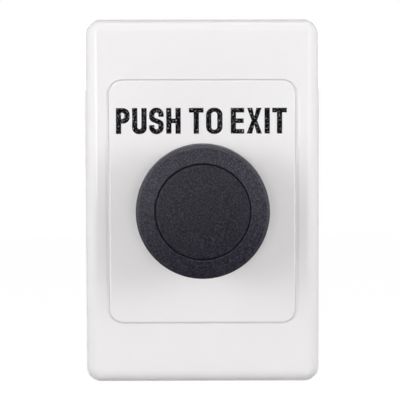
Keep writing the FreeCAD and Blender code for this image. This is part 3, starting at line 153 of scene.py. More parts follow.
# Each lamp has its place, then its width and height, all in metres, and its power in watts.
LAMPS = {
    "key_left": ((-0.18, -0.415, 0.04), (0.05, 0.12), 0.14),
    "key_right": ((0.215, -0.395, 0.05), (0.09, 0.24), 0.1),
    "wing_left": ((-0.334, -0.301, 0.07), (0.2, 0.16), 0.44),
    "wing_right": ((0.334, -0.301, 0.07), (0.2, 0.16), 0.52),
    "veil_left": ((-0.369, -0.258, 0.06), (0.36, 0.26), 0.3),
    "veil_right": ((0.369, -0.258, 0.06), (0.36, 0.26), 0.16),
    "high_left": ((-0.289, -0.345, 0.25), (0.2, 0.16), 0.2),
    "high_right": ((0.289, -0.345, 0.25), (0.2, 0.16), 0.2),
    "side_left": ((-0.5, 0.0, 0.05), (0.3, 0.4), 0.22),
    "side_right": ((0.5, 0.0, 0.05), (0.3, 0.4), 0.22),
    "front": ((-0.002, -0.56, 0.02), (0.16, 0.04), 0.91),
    "top": ((0, -0.08, 0.7), (0.6, 0.3), 1.04),
    "rear_left": ((-0.45, 0.75, 0.3), (0.5, 0.5), 3.4),
    "rear_right": ((0.45, 0.75, 0.3), (0.5, 0.5), 3.4),
}
UNMIRRORED = ("wing_left", "wing_right", "front")
for name, (place, size, watts) in LAMPS.items():
    softbox(name, place, size, watts).visible_glossy = name not in UNMIRRORED
print(f"{len(LAMPS)} lamps, {len(UNMIRRORED)} of them unseen in reflections")

# %% [markdown]
# The photograph's background is pure white, so the world is white to the camera. As a light it is dim, or it
# would wash the shadows out. In reflections it is nearly black in front of the plate and below it, and white
# above and behind, so a flat face keeps its own tone and only what leans upwards catches the white.

# %% World
WHITEST = (0.0, 0.8, 1.0)
world = bpy.data.worlds.new("studio")
bpy.context.scene.world = world
world.use_nodes = True
world.node_tree.nodes.clear()
rays = add_node(world.node_tree, "LightPath")
direction = add_node(world.node_tree, "TexCoord").outputs["Generated"]
tilt = add_node(world.node_tree, "VectorMath", {0: direction, 1: WHITEST}, operation="DOT_PRODUCT")
ramp = {"Value": tilt.outputs["Value"], "From Min": -0.8, "From Max": 0.1, "To Min": 0.02, "To Max": 1.0}
room = add_node(world.node_tree, "MapRange", ramp).outputs["Result"]
fill = add_node(world.node_tree, "Background", {"Color": linear("#3A3A3A"), "Strength": room})
gloss = add_node(world.node_tree, "Background", {"Color": linear("#FFFFFF"), "Strength": room})
white = add_node(world.node_tree, "Background", {"Color": linear("#FFFFFF"), "Strength": 1.0})
mirrored = {0: rays.outputs["Is Glossy Ray"], 1: fill.outputs[0], 2: gloss.outputs[0]}
unseen = add_node(world.node_tree, "MixShader", mirrored)
straight = {0: rays.outputs["Is Camera Ray"], 1: rays.outputs["Is Transmission Ray"]}
seen = add_node(world.node_tree, "Math", straight, operation="MAXIMUM")
either = {0: seen.outputs[0], 1: unseen.outputs[0], 2: white.outputs[0]}
mixed = add_node(world.node_tree, "MixShader", either)
add_node(world.node_tree, "OutputWorld", {"Surface": mixed.outputs[0]})
print("world with", len(world.node_tree.nodes), "nodes")

# %% [markdown]
# The plate hangs on a wall in real life, so the floor lies well below it. It is a pale matt sheet with a glow
# of its own that only the camera sees, so that it stays white and still takes a soft shadow.

# %% Floor
FLOOR_DEPTH, FLOOR_HALF, FLOOR_GLOW = 0.32, 4.0, 0.97
floor_mesh = bpy.data.meshes.new("floor")
square = np.array([(-1, -1), (1, -1), (1, 1), (-1, 1)]) * FLOOR_HALF
floor_corners = [(x, y, -FLOOR_DEPTH) for x, y in square.tolist()]
floor_mesh.from_pydata(floor_corners, [], [(0, 1, 2, 3)])
floor = bpy.data.objects.new("floor", floor_mesh)
bpy.context.scene.collection.objects.link(floor)
floor.visible_glossy = False
pale = bpy.data.materials.new("pale floor")
pale.use_nodes = True
pale.node_tree.nodes.clear()
path = add_node(pale.node_tree, "LightPath")
matt = add_node(pale.node_tree, "BsdfDiffuse", {"Color": linear("#BDBDBC")})
sight = {0: path.outputs["Is Camera Ray"], 1: path.outputs["Is Transmission Ray"]}
straight = add_node(pale.node_tree, "Math", sight, operation="MAXIMUM")
strength = add_node(pale.node_tree, "Math", {0: straight.outputs[0], 1: FLOOR_GLOW}, operation="MULTIPLY")
glow = add_node(pale.node_tree, "Emission", {"Color": linear("#FFFFFF"), "Strength": strength.outputs[0]})
both = add_node(pale.node_tree, "AddShader", {0: matt.outputs[0], 1: glow.outputs[0]})
add_node(pale.node_tree, "OutputMaterial", {"Surface": both.outputs[0]})
floor_mesh.materials.append(pale)
print(f"floor {FLOOR_DEPTH} m below the plate's centre")

# %% [markdown]
# ## Finishes
# A finish starts from what the real material is and how its surface was made. One function makes the
# material and its shader, and the pattern nodes are added finish by finish below. Object coordinates are
# metres, so a pattern whose grain is g millimetres wide has a scale of 1000 / g.

# %% Start of a finish


def new_finish(name, colour, **sockets):
    """A material whose shader has this colour and these sockets; a name's underscore stands for a space."""
    material = bpy.data.materials.new(name)
    material.use_nodes = True
    shader = material.node_tree.nodes["Principled BSDF"]
    shader.inputs["Base Color"].default_value = linear(colour)
    for socket, value in sockets.items():
        shader.inputs[socket.replace("_", " ")].default_value = value
    return material, material.node_tree, shader


def grain(size):
    """The scale of a pattern whose cells are this many millimetres wide."""
    return 1000 / size


def add_bumps(tree, shader, heights):
    """Stacks bump nodes: each is (a height output, its depth in millimetres, its strength from 0 to 1)."""
    below = None
    for height, depth, strength in heights:
        inputs = {"Height": height, "Distance": depth * MM, "Strength": strength}
        if below is not None:
            inputs["Normal"] = below
        below = add_node(tree, "Bump", inputs).outputs["Normal"]
    tree.links.new(below, shader.inputs["Normal"])


def add_mottle(tree, shader, place, size, light, dark):
    """Lets the colour drift between two tones in soft patches of a size in millimetres."""
    cloud = add_node(tree, "TexNoise", {"Vector": place, "Scale": grain(size), "Detail": 3.0})
    tones = {"Factor": cloud.outputs["Fac"], "A": linear(dark), "B": linear(light)}
    tone = add_node(tree, "Mix", tones, data_type="RGBA")
    tree.links.new(tone.outputs["Result"], shader.inputs["Base Color"])


# %% [markdown]
# ### White ABS from a polished tool
# The surround and the raised panel are gloss-moulded ABS. The eye sees a clean white with broad soft
# reflections. They ripple a little, because the plastic shrinks as it cools, and the gloss is never quite
# even. A flat white would look like paper, so the tone, the roughness and the height all vary, each at its
# own size in millimetres. The base colour drifts by three steps of 255 at most.

# %% White ABS
DRIFT, SINK_MARKS, PEEL, HAZE = 9.0, 26.0, 2.4, 14.0
white_abs, tree, shader = new_finish("gloss moulded ABS, white", "#F0EEEF", IOR=1.53, Roughness=0.2)
place = add_node(tree, "TexCoord").outputs["Object"]
add_mottle(tree, shader, place, DRIFT, "#F1EFF0", "#EEECED")
sink = add_node(tree, "TexNoise", {"Vector": place, "Scale": grain(SINK_MARKS), "Detail": 1.0})
peel = add_node(tree, "TexNoise", {"Vector": place, "Scale": grain(PEEL), "Detail": 2.0})
add_bumps(tree, shader, [(sink.outputs["Fac"], 0.14, 0.6), (peel.outputs["Fac"], 0.008, 0.4)])
haze = add_node(tree, "TexNoise", {"Vector": place, "Scale": grain(HAZE), "Detail": 4.0})
gloss = {"Value": haze.outputs["Fac"], "From Min": 0.3, "From Max": 0.7, "To Min": 0.03, "To Max": 0.08}
tree.links.new(add_node(tree, "MapRange", gloss).outputs["Result"], shader.inputs["Roughness"])
print(f"{white_abs.name}: sink marks {SINK_MARKS} mm wide, orange peel {PEEL} mm")

# %% [markdown]
# ### Grained black plastic
# The cap and its insert come from a spark-eroded tool. That leaves a fine, dry grain, which breaks every
# reflection up into glints on single grains. Two noises make it: one for the pits, and one that paints
# those glints into the colour as pale flecks on a dark, slightly blue grey, so the flecks are painted
# highlights. Real pits can be finer than a third of a millimetre, but that is one pixel of the photograph,
# so the grain is drawn as coarse as it needs to be to show.

# %% Grained plastic
# The pale flecks are painted glints: single grains lightened in the colour.
PITS, GLINT_FLECKS = 0.34, 0.44


def grained(name, deep, painted_glint_tone, roughness):
    """A dark moulded plastic with spark-eroded pits, and pale flecks that paint glints on single grains."""
    material, tree, shader = new_finish(name, deep, IOR=1.5, Roughness=roughness)
    place = add_node(tree, "TexCoord").outputs["Object"]
    fine = {"Vector": place, "Detail": 2.0, "Roughness": 0.6}
    pits = add_node(tree, "TexNoise", {**fine, "Scale": grain(PITS)})
    # Painted glints: this noise lightens single grains towards the pale tone.
    glint_fleck = add_node(tree, "TexNoise", {**fine, "Scale": grain(GLINT_FLECKS)})
    stops = {"Value": glint_fleck.outputs["Fac"], "From Min": 0.42, "From Max": 0.66}
    share = add_node(tree, "MapRange", stops)
    tones = {"Factor": share.outputs["Result"], "A": linear(deep), "B": linear(painted_glint_tone)}
    tone = add_node(tree, "Mix", tones, data_type="RGBA")
    tree.links.new(tone.outputs["Result"], shader.inputs["Base Color"])
    add_bumps(tree, shader, [(pits.outputs["Fac"], 0.13, 0.8)])
    return material


# The second tone of each plastic is the colour of its painted glints.
cap_plastic = grained("spark-eroded plastic, cap ring", "#0C0A14", "#3C3947", 0.45)
# The insert is the same plastic as the ring in darker tones, painted shade for the less light that it
# catches.
insert_plastic_shaded_darker = grained("spark-eroded plastic, cap insert", "#07060D", "#31303C", 0.47)
print(f"pits {PITS} mm wide, flecks {GLINT_FLECKS} mm")

# %% [markdown]
# ### The plastics behind the panel
# The operator, the ring nut and the carrier are glass-filled nylon: black, satin, with a faint streaky flow
# pattern. The contact blocks are pale grey polyester, and their plungers are green for the contact that
# closes and red for the contact that opens. The gasket and the wiper are black rubber. They differ only in
# tone, gloss and grain, so one function makes them all.

# %% Other plastics and rubber
FLOW = 5.0


def moulded(name, light, dark, roughness, grain_size=0.5, depth=0.02):
    """A satin moulded plastic: soft patches of two tones and a fine, shallow texture."""
    material, tree, shader = new_finish(name, light, IOR=1.52, Roughness=roughness)
    place = add_node(tree, "TexCoord").outputs["Object"]
    add_mottle(tree, shader, place, FLOW, light, dark)
    texture = add_node(tree, "TexNoise", {"Vector": place, "Scale": grain(grain_size), "Detail": 3.0})
    add_bumps(tree, shader, [(texture.outputs["Fac"], depth, 0.6)])
    sheen = {"Value": texture.outputs["Fac"], "To Min": roughness - 0.08, "To Max": roughness + 0.08}
    tree.links.new(add_node(tree, "MapRange", sheen).outputs["Result"], shader.inputs["Roughness"])
    return material


nylon = moulded("glass-filled nylon, black", "#232426", "#191A1C", 0.42)
block_grey = moulded("moulded polyester, pale grey", "#C3C5C6", "#B4B6B8", 0.4)
signal_green = moulded("moulded nylon, green", "#2C8A4A", "#217A3E", 0.36)
signal_red = moulded("moulded nylon, red", "#B92A24", "#A3211D", 0.36)
rubber = moulded("nitrile rubber, black", "#1B1B1B", "#131313", 0.78, 0.3, 0.015)
print("four plastics and a rubber behind the panel")

# %% [markdown]
# ### The metals
# The screws, the washer and the clamps are zinc plated steel: a pale metal, cloudy where the plating grew
# unevenly. The springs are drawn wire, smoother and darker. The contacts are stamped brass that has gone
# slightly brown in patches. A metal's colour is its reflection, so the shader is fully metallic and its
# pattern changes the tone and the gloss together.

# %% Metals


def metal(name, light, dark, roughness, patch, scratch):
    """A metal whose tone and gloss change over patches of a size, with fine scratches of another size."""
    material, tree, shader = new_finish(name, light, Metallic=1.0, Roughness=roughness)
    place = add_node(tree, "TexCoord").outputs["Object"]
    add_mottle(tree, shader, place, patch, light, dark)
    fine = add_node(tree, "TexNoise", {"Vector": place, "Scale": grain(scratch), "Detail": 4.0})
    spread = {"Value": fine.outputs["Fac"], "To Min": roughness - 0.1, "To Max": roughness + 0.12}
    tree.links.new(add_node(tree, "MapRange", spread).outputs["Result"], shader.inputs["Roughness"])
    add_bumps(tree, shader, [(fine.outputs["Fac"], 0.006, 0.5)])
    return material


zinc = metal("zinc plated steel", "#C9CCCF", "#A8ACAF", 0.32, 1.6, 0.2)
wire_steel = metal("drawn spring steel", "#A9ABAD", "#86888B", 0.26, 0.9, 0.12)
brass = metal("stamped brass", "#D9B56B", "#B58E48", 0.3, 2.2, 0.25)
print("three metals")

# %% [markdown]
# Every node names a slot, and every slot has one finish here. Each solid gets its slot's finish now, and the
# finer pieces that take its place below start from the same one.

# %% Finishes on the nodes
FINISH_OF_SLOT = {
    "white_plastic": white_abs,
    "black_plastic": nylon,
    "block_plastic": block_grey,
    "rubber": rubber,
    "plated_steel": zinc,
    "spring_steel": wire_steel,
    "brass": brass,
    "green_plastic": signal_green,
    "red_plastic": signal_red,
}
for node, slot in SLOT_OF.items():
    mesh = frame["nodes"][node].data
    mesh.materials.clear()
    mesh.materials.append(FINISH_OF_SLOT[slot])
print(f"{len(FINISH_OF_SLOT)} finishes on {len(SLOT_OF)} nodes")

# %% [markdown]
# ## Surfaces from numbers
# A surface is a grid of points worked out with numpy, and its faces join neighbouring points. Where the
# grid's first and last line meet, the faces go round. A pole is a whole line of equal points, which become
# one point when doubles are merged.

# %% Grids and pieces
# Points nearer than this many metres are one point, and an edge that bends by more than 32 degrees is sharp.
MERGE, SHARP = 1e-7, 32


def grid_faces(rows, columns, wrap_rows, wrap_columns):
    """The four point numbers of each face: (i, j), (i, j + 1), (i + 1, j + 1) and (i + 1, j)."""
    i = np.arange(rows if wrap_rows else rows - 1)[:, None]
    j = np.arange(columns if wrap_columns else columns - 1)[None, :]
    next_i, next_j = (i + 1) % rows, (j + 1) % columns
    corners = [i * columns + j, i * columns + next_j, next_i * columns + next_j, next_i * columns + j]
    return np.stack(corners, axis=-1).reshape(-1, 4)


def tidy_mesh(mesh, sharp=SHARP):
    """Merges doubles, turns faces outwards, and smooths all edges that bend less than an angle."""
    work = bmesh.new()
    work.from_mesh(mesh)
    bmesh.ops.remove_doubles(work, verts=work.verts, dist=MERGE)
    bmesh.ops.recalc_face_normals(work, faces=work.faces)
    work.to_mesh(mesh)
    work.free()
    mesh.shade_smooth()
    mesh.set_sharp_from_angle(angle=math.radians(sharp))


def mesh_of_grids(name, grids, sharp=SHARP):
    """One mesh of several grids. Each is (points in mm, whether rows wrap, whether columns wrap)."""
    points, faces, first = [], [], 0
    for surface, wrap_rows, wrap_columns in grids:
        rows, columns, _ = surface.shape
        points.append(surface.reshape(-1, 3) * MM)
        faces.append(grid_faces(rows, columns, wrap_rows, wrap_columns) + first)
        first += rows * columns
    mesh = bpy.data.meshes.new(name)
    mesh.from_pydata(np.concatenate(points).tolist(), [], np.concatenate(faces).tolist())
    tidy_mesh(mesh, sharp)
    return mesh


def add_piece(name, mesh, finish, body, replaced=()):
    """Puts a mesh into the scene as a piece that rides on a body and stands for some nodes."""
    made = bpy.data.objects.new(name, mesh)
    bpy.context.scene.collection.objects.link(made)
    mesh.materials.clear()
    mesh.materials.append(finish)
    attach(made, body)
    if replaced:
        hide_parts(*replaced)
    return made


print("a grid of 3 by 4 points has", len(grid_faces(3, 4, False, False)), "faces")

# %% [markdown]
# Most sections of this object are straight lines with rounded corners, so one function rounds the corners of
# a list of points. A second turns such a profile round the button's axis, for what is round. A third lays
# out rounded rectangles round the plate's centre, for what follows the plate, and a fourth makes plain boxes.

# %% Profiles, turned shapes, loops and boxes


def rounded(corners, closed=True, steps=6):
    """A profile through corners (x, y, radius), each rounded by an arc that is tangent to both its sides.

    The arc starts where the corner is radius / tan(half the corner's angle) away, and its points are the
    centre plus the radius times a direction that turns evenly from one tangent point to the other.
    """
    places = np.array([corner[:2] for corner in corners], float)
    radii = [corner[2] if len(corner) > 2 else 0 for corner in corners]
    line = []
    for step, (place, radius) in enumerate(zip(places, radii)):
        inside = closed or 0 < step < len(places) - 1
        if not radius or not inside:
            line.append(place[None, :])
            continue
        back = places[step - 1] - place
        ahead = places[(step + 1) % len(places)] - place
        back, ahead = back / np.linalg.norm(back), ahead / np.linalg.norm(ahead)
        half = np.arccos(np.clip(back @ ahead, -1, 1)) / 2
        middle = (back + ahead) / np.linalg.norm(back + ahead)
        centre = place + middle * radius / np.sin(half)
        start = place + back * radius / np.tan(half) - centre
        end = place + ahead * radius / np.tan(half) - centre
        share = np.linspace(0, 1, steps + 1)[:, None]
        turn = np.pi - 2 * half
        arc = (np.sin((1 - share) * turn) * start + np.sin(share * turn) * end) / np.sin(turn)
        line.append(centre + arc)
    return np.concatenate(line)


def turned(profile, columns):
    """A profile of (radius r, depth y) turned round the button's axis: (r cos a, y, axis + r sin a)."""
    angle = np.linspace(0, 2 * np.pi, columns, endpoint=False)[None, :]
    radius, depth = profile[:, :1], profile[:, 1:]
    return np.stack([radius * np.cos(angle), depth + 0 * angle, AXIS + radius * np.sin(angle)], axis=-1)


def loops(width, height, radius, depth, steps=9):
    """Rounded rectangles round the plate's centre, one row each, from arrays of their sizes.

    A point is its corner's centre, half the size less the radius away on each side, plus the radius times
    the direction (cos a, sin a), where a turns by a quarter in each of the four corners.
    """
    sizes = (width, height, radius, depth)
    width, height, radius, depth = (np.asarray(size, float).reshape(-1, 1) for size in sizes)
    quarter = np.repeat(np.arange(4), steps + 1)
    angle = (quarter * 90 + np.tile(np.linspace(0, 90, steps + 1), 4)) * np.pi / 180
    side = np.array([[1, 1], [-1, 1], [-1, -1], [1, -1]])[quarter]
    x = side[:, 0] * (width / 2 - radius) + radius * np.cos(angle)
    z = side[:, 1] * (height / 2 - radius) + radius * np.sin(angle)
    return np.stack([x, depth + 0 * x, z], axis=-1)


def slab(low, high):
    """A plain box between two corners, as two square loops and their two closed ends."""
    low, high = np.array(low, float), np.array(high, float)
    x = np.array([low[0], high[0], high[0], low[0]])
    z = np.array([low[2], low[2], high[2], high[2]])
    rings = [np.stack([x, np.full(4, y), z], axis=-1) for y in (low[1], high[1])]
    middle = np.tile((low + high) / 2, (4, 1))
    front, back = middle.copy(), middle.copy()
    front[:, 1], back[:, 1] = low[1], high[1]
    return np.stack([front, *rings, back])


bend = rounded([(0, 0), (1, 0, 0.2), (1, 1)], closed=False)
print("a corner rounded in six steps has", len(bend) - 2, "points")

# %% [markdown]
# ## The surround
# The surround is a shallow moulded tray with a window, and four snap hooks inside hold it on the base plate.
# It could be a box with a hole cut in it, but then no edge would have a radius of its own. So its section is
# one closed line: up the outer side, which leans in by 4 degrees so that it leaves the tool, round the
# shoulder, over the face, down the chamfer into the window, back along the lip behind it and inside the tray
# to the start. That line is carried round two rounded rectangles, the plate's outline and the window's, so
# each row of the grid is one loop.

# %% Sizes of the surround
low, high = box_mm("surround_cover")
PLATE_W, PLATE_H, PLATE_R = high[0] - low[0], high[2] - low[2], 5.0
FACE, DRAFT, WALL = low[1], math.tan(math.radians(4)), 1.8
PANEL_FRONT = box_mm("base_plate")[0][1]
PANEL_W, PANEL_H, PANEL_GAP = 58.8, 76.6, 0.3
WINDOW_W, WINDOW_H, WINDOW_R = PANEL_W + PANEL_GAP, PANEL_H + PANEL_GAP, 4.45
LIP_BACK, LIP = FACE + 4.2, 1.2
SHOULDER, FACE_REACH, INNER_SHOULDER = 4.4, 8.0, 2.4
CHAMFER, CHAMFER_TILT, CHAMFER_ROUND, CHAMFER_START = 1.0, 32, 0.5, 0.6
GROOVE, GROOVE_STEP, LIP_ROUND = 0.1, 0.12, 0.15
LEAST_R, LEAST_INNER_R = 0.6, 0.5
# The chamfer is wide along the window's sides and steep along its top and bottom.
STEEP = 0.3
print(f"plate {PLATE_W:.1f} x {PLATE_H:.1f} mm, window {WINDOW_W:.1f} x {WINDOW_H:.1f} mm")

# %% Section of the surround
inner_face = FACE + WALL
lean, inner_lean = -FACE * DRAFT, -inner_face * DRAFT
outer = rounded([(0.0, 0.0), (lean, FACE, SHOULDER), (FACE_REACH, FACE)], closed=False, steps=12)[:-1]
chamfer_foot = FACE + CHAMFER * math.tan(math.radians(CHAMFER_TILT))
groove_floor = chamfer_foot + GROOVE_STEP
window = rounded(
    [
        (CHAMFER + CHAMFER_START, FACE),
        (CHAMFER, FACE, CHAMFER_ROUND),
        (0.0, chamfer_foot, 0.1),
        (0.0, groove_floor),
        (-GROOVE, groove_floor),
        (-GROOVE, LIP_BACK, LIP_ROUND),
        (LIP, LIP_BACK, LIP_ROUND),
        (LIP, inner_face),
    ],
    closed=False,
)
window_rise = np.where(window[:, 1] < groove_floor, window[:, 0] * STEEP, window[:, 0])
inside_line = [(FACE_REACH, inner_face), (inner_lean, inner_face, INNER_SHOULDER), (0.0, 0.0)]
inner = rounded(inside_line, closed=False)[1:]
print(f"the section has {len(outer) + len(window) + len(inner)} points")

# %% Surround
rows = [
    loops(
        PLATE_W - 2 * outer[:, 0],
        PLATE_H - 2 * outer[:, 0],
        np.maximum(PLATE_R - outer[:, 0], LEAST_R),
        outer[:, 1],
    ),
    loops(WINDOW_W + 2 * window[:, 0], WINDOW_H + 2 * window_rise, WINDOW_R + window[:, 0], window[:, 1]),
    loops(
        PLATE_W - 2 * WALL - 2 * inner[:, 0],
        PLATE_H - 2 * WALL - 2 * inner[:, 0],
        np.maximum(PLATE_R - WALL - inner[:, 0], LEAST_INNER_R),
        inner[:, 1],
    ),
]
HOOK_X, HOOK_Z = PLATE_W / 2 - WALL - 0.1, 32
HOOK_HALF_W, HOOK_HALF_H, HOOK_FRONT, HOOK_BACK = 1.0, 3.5, -1.0, -0.1
hooks = []
for x in (-HOOK_X, HOOK_X):
    for z in (-HOOK_Z, HOOK_Z):
        nearest = (x - HOOK_HALF_W, HOOK_FRONT, z - HOOK_HALF_H)
        farthest = (x + HOOK_HALF_W, HOOK_BACK, z + HOOK_HALF_H)
        hooks.append((slab(nearest, farthest), False, True))
surround_mesh = mesh_of_grids("surround", [(np.concatenate(rows), True, True)] + hooks)
surround = add_piece("surround", surround_mesh, white_abs, "root", ["surround_cover"])
print(f"surround with {len(hooks)} hooks, {len(surround_mesh.polygons)} faces")

# %% [markdown]
# No moulded or stamped edge is perfectly sharp, and it is the rounding that catches the light. A bevel
# modifier rounds what bends by more than 40 degrees, and the flats are kept flat in the light.
# The screwdriver notch in the surround's lower edge is cut with a boolean first, as the toolmaker would leave
# a block standing in the tool. The cutter is gone once the cut is part of the mesh.

# %% Screwdriver notch and rounded edges
BENT = 40


def soften(made, width):
    """Rounds a piece's sharp edges by a width in millimetres and keeps its flats flat in the light."""
    bevel = made.modifiers.new("edges", "BEVEL")
    bevel.width, bevel.segments = width * MM, 2
    bevel.limit_method, bevel.angle_limit = "ANGLE", math.radians(BENT)
    weighted = made.modifiers.new("flats", "WEIGHTED_NORMAL")
    weighted.keep_sharp = True


def settle(made):
    """Replaces a piece's mesh by what its modifiers make of it."""
    graph = bpy.context.evaluated_depsgraph_get()
    mesh = bpy.data.meshes.new_from_object(made.evaluated_get(graph))
    made.modifiers.clear()
    made.data = mesh


NOTCH_HALF, NOTCH_DEPTH, SPARE = 6.0, 1.5, 1.0
lower_edge = -PLATE_H / 2
notch_low = (-NOTCH_HALF, -NOTCH_DEPTH, lower_edge - SPARE)
notch_high = (NOTCH_HALF, SPARE, lower_edge + WALL + SPARE)
notch = slab(notch_low, notch_high)
cutter = bpy.data.objects.new("cutter", mesh_of_grids("cutter", [(notch, False, True)]))
bpy.context.scene.collection.objects.link(cutter)
cut = surround.modifiers.new("notch", "BOOLEAN")
cut.operation, cut.solver, cut.object = "DIFFERENCE", "EXACT", cutter
settle(surround)
bpy.data.objects.remove(cutter)
tidy_mesh(surround.data)
soften(surround, 0.12)
print(f"notch {2 * NOTCH_HALF:.0f} mm wide, surround of {len(surround.data.polygons)} faces")

# %% [markdown]
# ## Solids that only need a better skin
# Many solids have the right shape, but they are loose triangles with knife edges. Building them again from
# numbers would gain nothing. So a copy is joined up, its flat areas become whole faces again, and its edges
# are rounded by a tenth of a millimetre or two.

# %% Finished copies of solids
# The solids' points are rounded more coarsely. Faces that bend by less than 0.8 degrees are one flat.
JOIN, FLAT = 5e-7, 0.8


def finished_copy(node, name, edge):
    """A joined copy of a node's triangles in the node's own finish, its edges rounded by some millimetres."""
    mesh = frame["nodes"][node].data.copy()
    work = bmesh.new()
    work.from_mesh(mesh)
    bmesh.ops.remove_doubles(work, verts=work.verts, dist=JOIN)
    bmesh.ops.dissolve_limit(work, angle_limit=math.radians(FLAT), verts=work.verts, edges=work.edges)
    work.to_mesh(mesh)
    work.free()
    mesh.name = name
    mesh.shade_smooth()
    mesh.set_sharp_from_angle(angle=math.radians(SHARP))
    slot = SLOT_OF[node]
    made = add_piece(name, mesh, FINISH_OF_SLOT[slot], BODY_OF[node], [node])
    soften(made, edge)
    return made


print("a copy is rounded where it bends by more than", BENT, "degrees")

# %% [markdown]
# The base plate is such a copy too, but its raised panel has a wider rounding round its front, which shows as
# a soft line in the photograph. Only those edges get a bevel weight: both ends lie in the panel's front plane
# and near its rim. The modifier that reads the weights comes first, before the one for all sharp edges.

# %% Panel with a rounded rim
PANEL_ROUND, IN_PLANE, NEAR_RIM = 0.4, 0.01, 0.85
panel = finished_copy("base_plate", "panel_and_flange", 0.12)
marks = bmesh.new()
marks.from_mesh(panel.data)
weight = marks.edges.layers.float.new("bevel_weight_edge")
for edge in marks.edges:
    ends = [vertex.co / MM for vertex in edge.verts]
    on_front = all(abs(end.y - PANEL_FRONT) < IN_PLANE for end in ends)
    at_rim = all(max(abs(end.x) * 2 / PANEL_W, abs(end.z) * 2 / PANEL_H) > NEAR_RIM for end in ends)
    edge[weight] = 1.0 if on_front and at_rim else 0.0
marked = sum(edge[weight] > 0 for edge in marks.edges)
marks.to_mesh(panel.data)
marks.free()
rim = panel.modifiers.new("rim", "BEVEL")
rim.width, rim.segments, rim.limit_method = PANEL_ROUND * MM, 4, "WEIGHT"
panel.modifiers.move(len(panel.modifiers) - 1, 0)
print(f"{marked} edges of the panel's rim rounded by {PANEL_ROUND} mm")

# %% [markdown]
# The other solids need no more than the copy. Rubber and thick mouldings get a rounding of up to a quarter of
# a millimetre, and thin stamped metal less than a tenth. Each contact block has the same eight such pieces.

# %% The other copies
PLAIN_EDGES = {
    "bezel_gasket": ("gasket_ring", 0.15),
    "lock_washer": ("toothed_washer", 0.08),
    "fixing_nut": ("ring_nut", 0.25),
    "contact_carrier": ("carrier_moulding", 0.25),
    "carrier_lock_screw": ("set_screw", 0.1),
    "stem_seal": ("wiper_ring", 0.1),
    "cap_screw": ("cap_pan_screw", 0.12),
    "plunger": ("piston_and_tail", 0.2),
    "push_plate": ("tail_plate", 0.2),
    "push_plate_screw": ("tail_screw", 0.08),
}
for node, (name, edge) in PLAIN_EDGES.items():
    finished_copy(node, name, edge)
BLOCK_EDGES = {
    "block_housing": 0.25,
    "block_cover": 0.2,
    "contact_plunger": 0.15,
    "bridge_contact": 0.06,
    "terminal_top": 0.08,
    "terminal_bottom": 0.08,
    "terminal_screws": 0.15,
    "clamp_plates": 0.12,
}
for kind in ("make", "break"):
    for part, edge in BLOCK_EDGES.items():
        finished_copy(f"{kind}_{part}", f"{kind}_{part}_finished", edge)
print(f"{len(PLAIN_EDGES) + 2 * len(BLOCK_EDGES)} finished copies")

# %% [markdown]
# ## The mushroom cap
# The cap is a turned shape: a profile of radius against depth goes once round the axis. The ring falls gently
# from the groove to a narrow chamfered band at the rim. The skirt flares by 0.3 mm towards the plate, so that
# it leaves the tool, and underneath there is a hub for the plunger and six ribs that keep the rim stiff. A
# rib is a plain box, turned round the axis by x cos a - z sin a and x sin a + z cos a.

# %% Cap
cap_low, cap_high = box_mm("mushroom_cap")
RIM, SKIRT_EDGE, GROOVE_FACE = 20.0, cap_high[1], cap_low[1]
RING_FALL, RIM_BAND, BAND_STEP, FLARE, SEAT, SEAT_EDGE = 1.1, 1.0, 0.15, 0.3, 14.3, 0.25
ROOF, SKIRT_WALL, ROOT_WALL = GROOVE_FACE + RING_FALL + 3.0, 1.9, 2.05
HUB, HUB_BACK, SOCKET, SOCKET_FLOOR = 12.4, SKIRT_EDGE - 0.1, 8.3, GROOVE_FACE + 7.7
POCKET, POCKET_FLOOR, INSERT_BACK, SCREW_HOLE = 10.5, GROOVE_FACE + 5.1, GROOVE_FACE + 2.1, 2.1
ROUND_STEPS = 180
cap_profile = rounded(
    [
        (SEAT, GROOVE_FACE + SEAT_EDGE, 0.1),
        (SEAT + SEAT_EDGE, GROOVE_FACE, 0.12),
        (RIM - RIM_BAND, GROOVE_FACE + RING_FALL - BAND_STEP, 0.3),
        (RIM, GROOVE_FACE + RING_FALL + RIM_BAND - BAND_STEP, 0.4),
        (RIM + FLARE, SKIRT_EDGE, 0.3),
        (RIM + FLARE - SKIRT_WALL, SKIRT_EDGE, 0.3),
        (RIM - ROOT_WALL, ROOF, 1.0),
        (HUB, ROOF, 0.6),
        (HUB, HUB_BACK, 0.3),
        (SOCKET, HUB_BACK, 0.2),
        (SOCKET, SOCKET_FLOOR),
        (SCREW_HOLE, SOCKET_FLOOR),
        (SCREW_HOLE, POCKET_FLOOR),
        (POCKET, POCKET_FLOOR, 0.3),
        (POCKET, INSERT_BACK),
        (SEAT, INSERT_BACK),
    ],
    steps=8,
)
RIBS, RIB_HALF, RIB_ROOT, RIB_SHORT, RIB_START, RIB_END = 6, 0.7, 0.75, 2.0, 11.9, 19.35
rib_x, rib_y, rib_z = np.moveaxis(
    slab((-RIB_HALF, ROOF - RIB_ROOT, RIB_START), (RIB_HALF, SKIRT_EDGE - RIB_SHORT, RIB_END)), -1, 0
)
ribs = []
for turn in np.arange(RIBS) * math.pi * 2 / RIBS:
    x = rib_x * math.cos(turn) - rib_z * math.sin(turn)
    z = rib_x * math.sin(turn) + rib_z * math.cos(turn)
    ribs.append((np.stack([x, rib_y, AXIS + z], axis=-1), False, True))
cap_mesh = mesh_of_grids("cap", [(turned(cap_profile, ROUND_STEPS), True, True)] + ribs)
cap = add_piece("cap", cap_mesh, cap_plastic, "button", ["mushroom_cap"])
soften(cap, 0.12)
print(f"cap {2 * RIM:.1f} mm at its rim, with {len(ribs)} ribs")

# %% [markdown]
# The insert closes the cap's pocket. It is domed by 0.7 mm, so the light slides over it, and a narrow bevel
# at its rim makes the thin bright line inside the dark groove. The dome is a circle's arc: its depth at a
# radius r is the crown's depth plus R less the root of R squared less r squared.

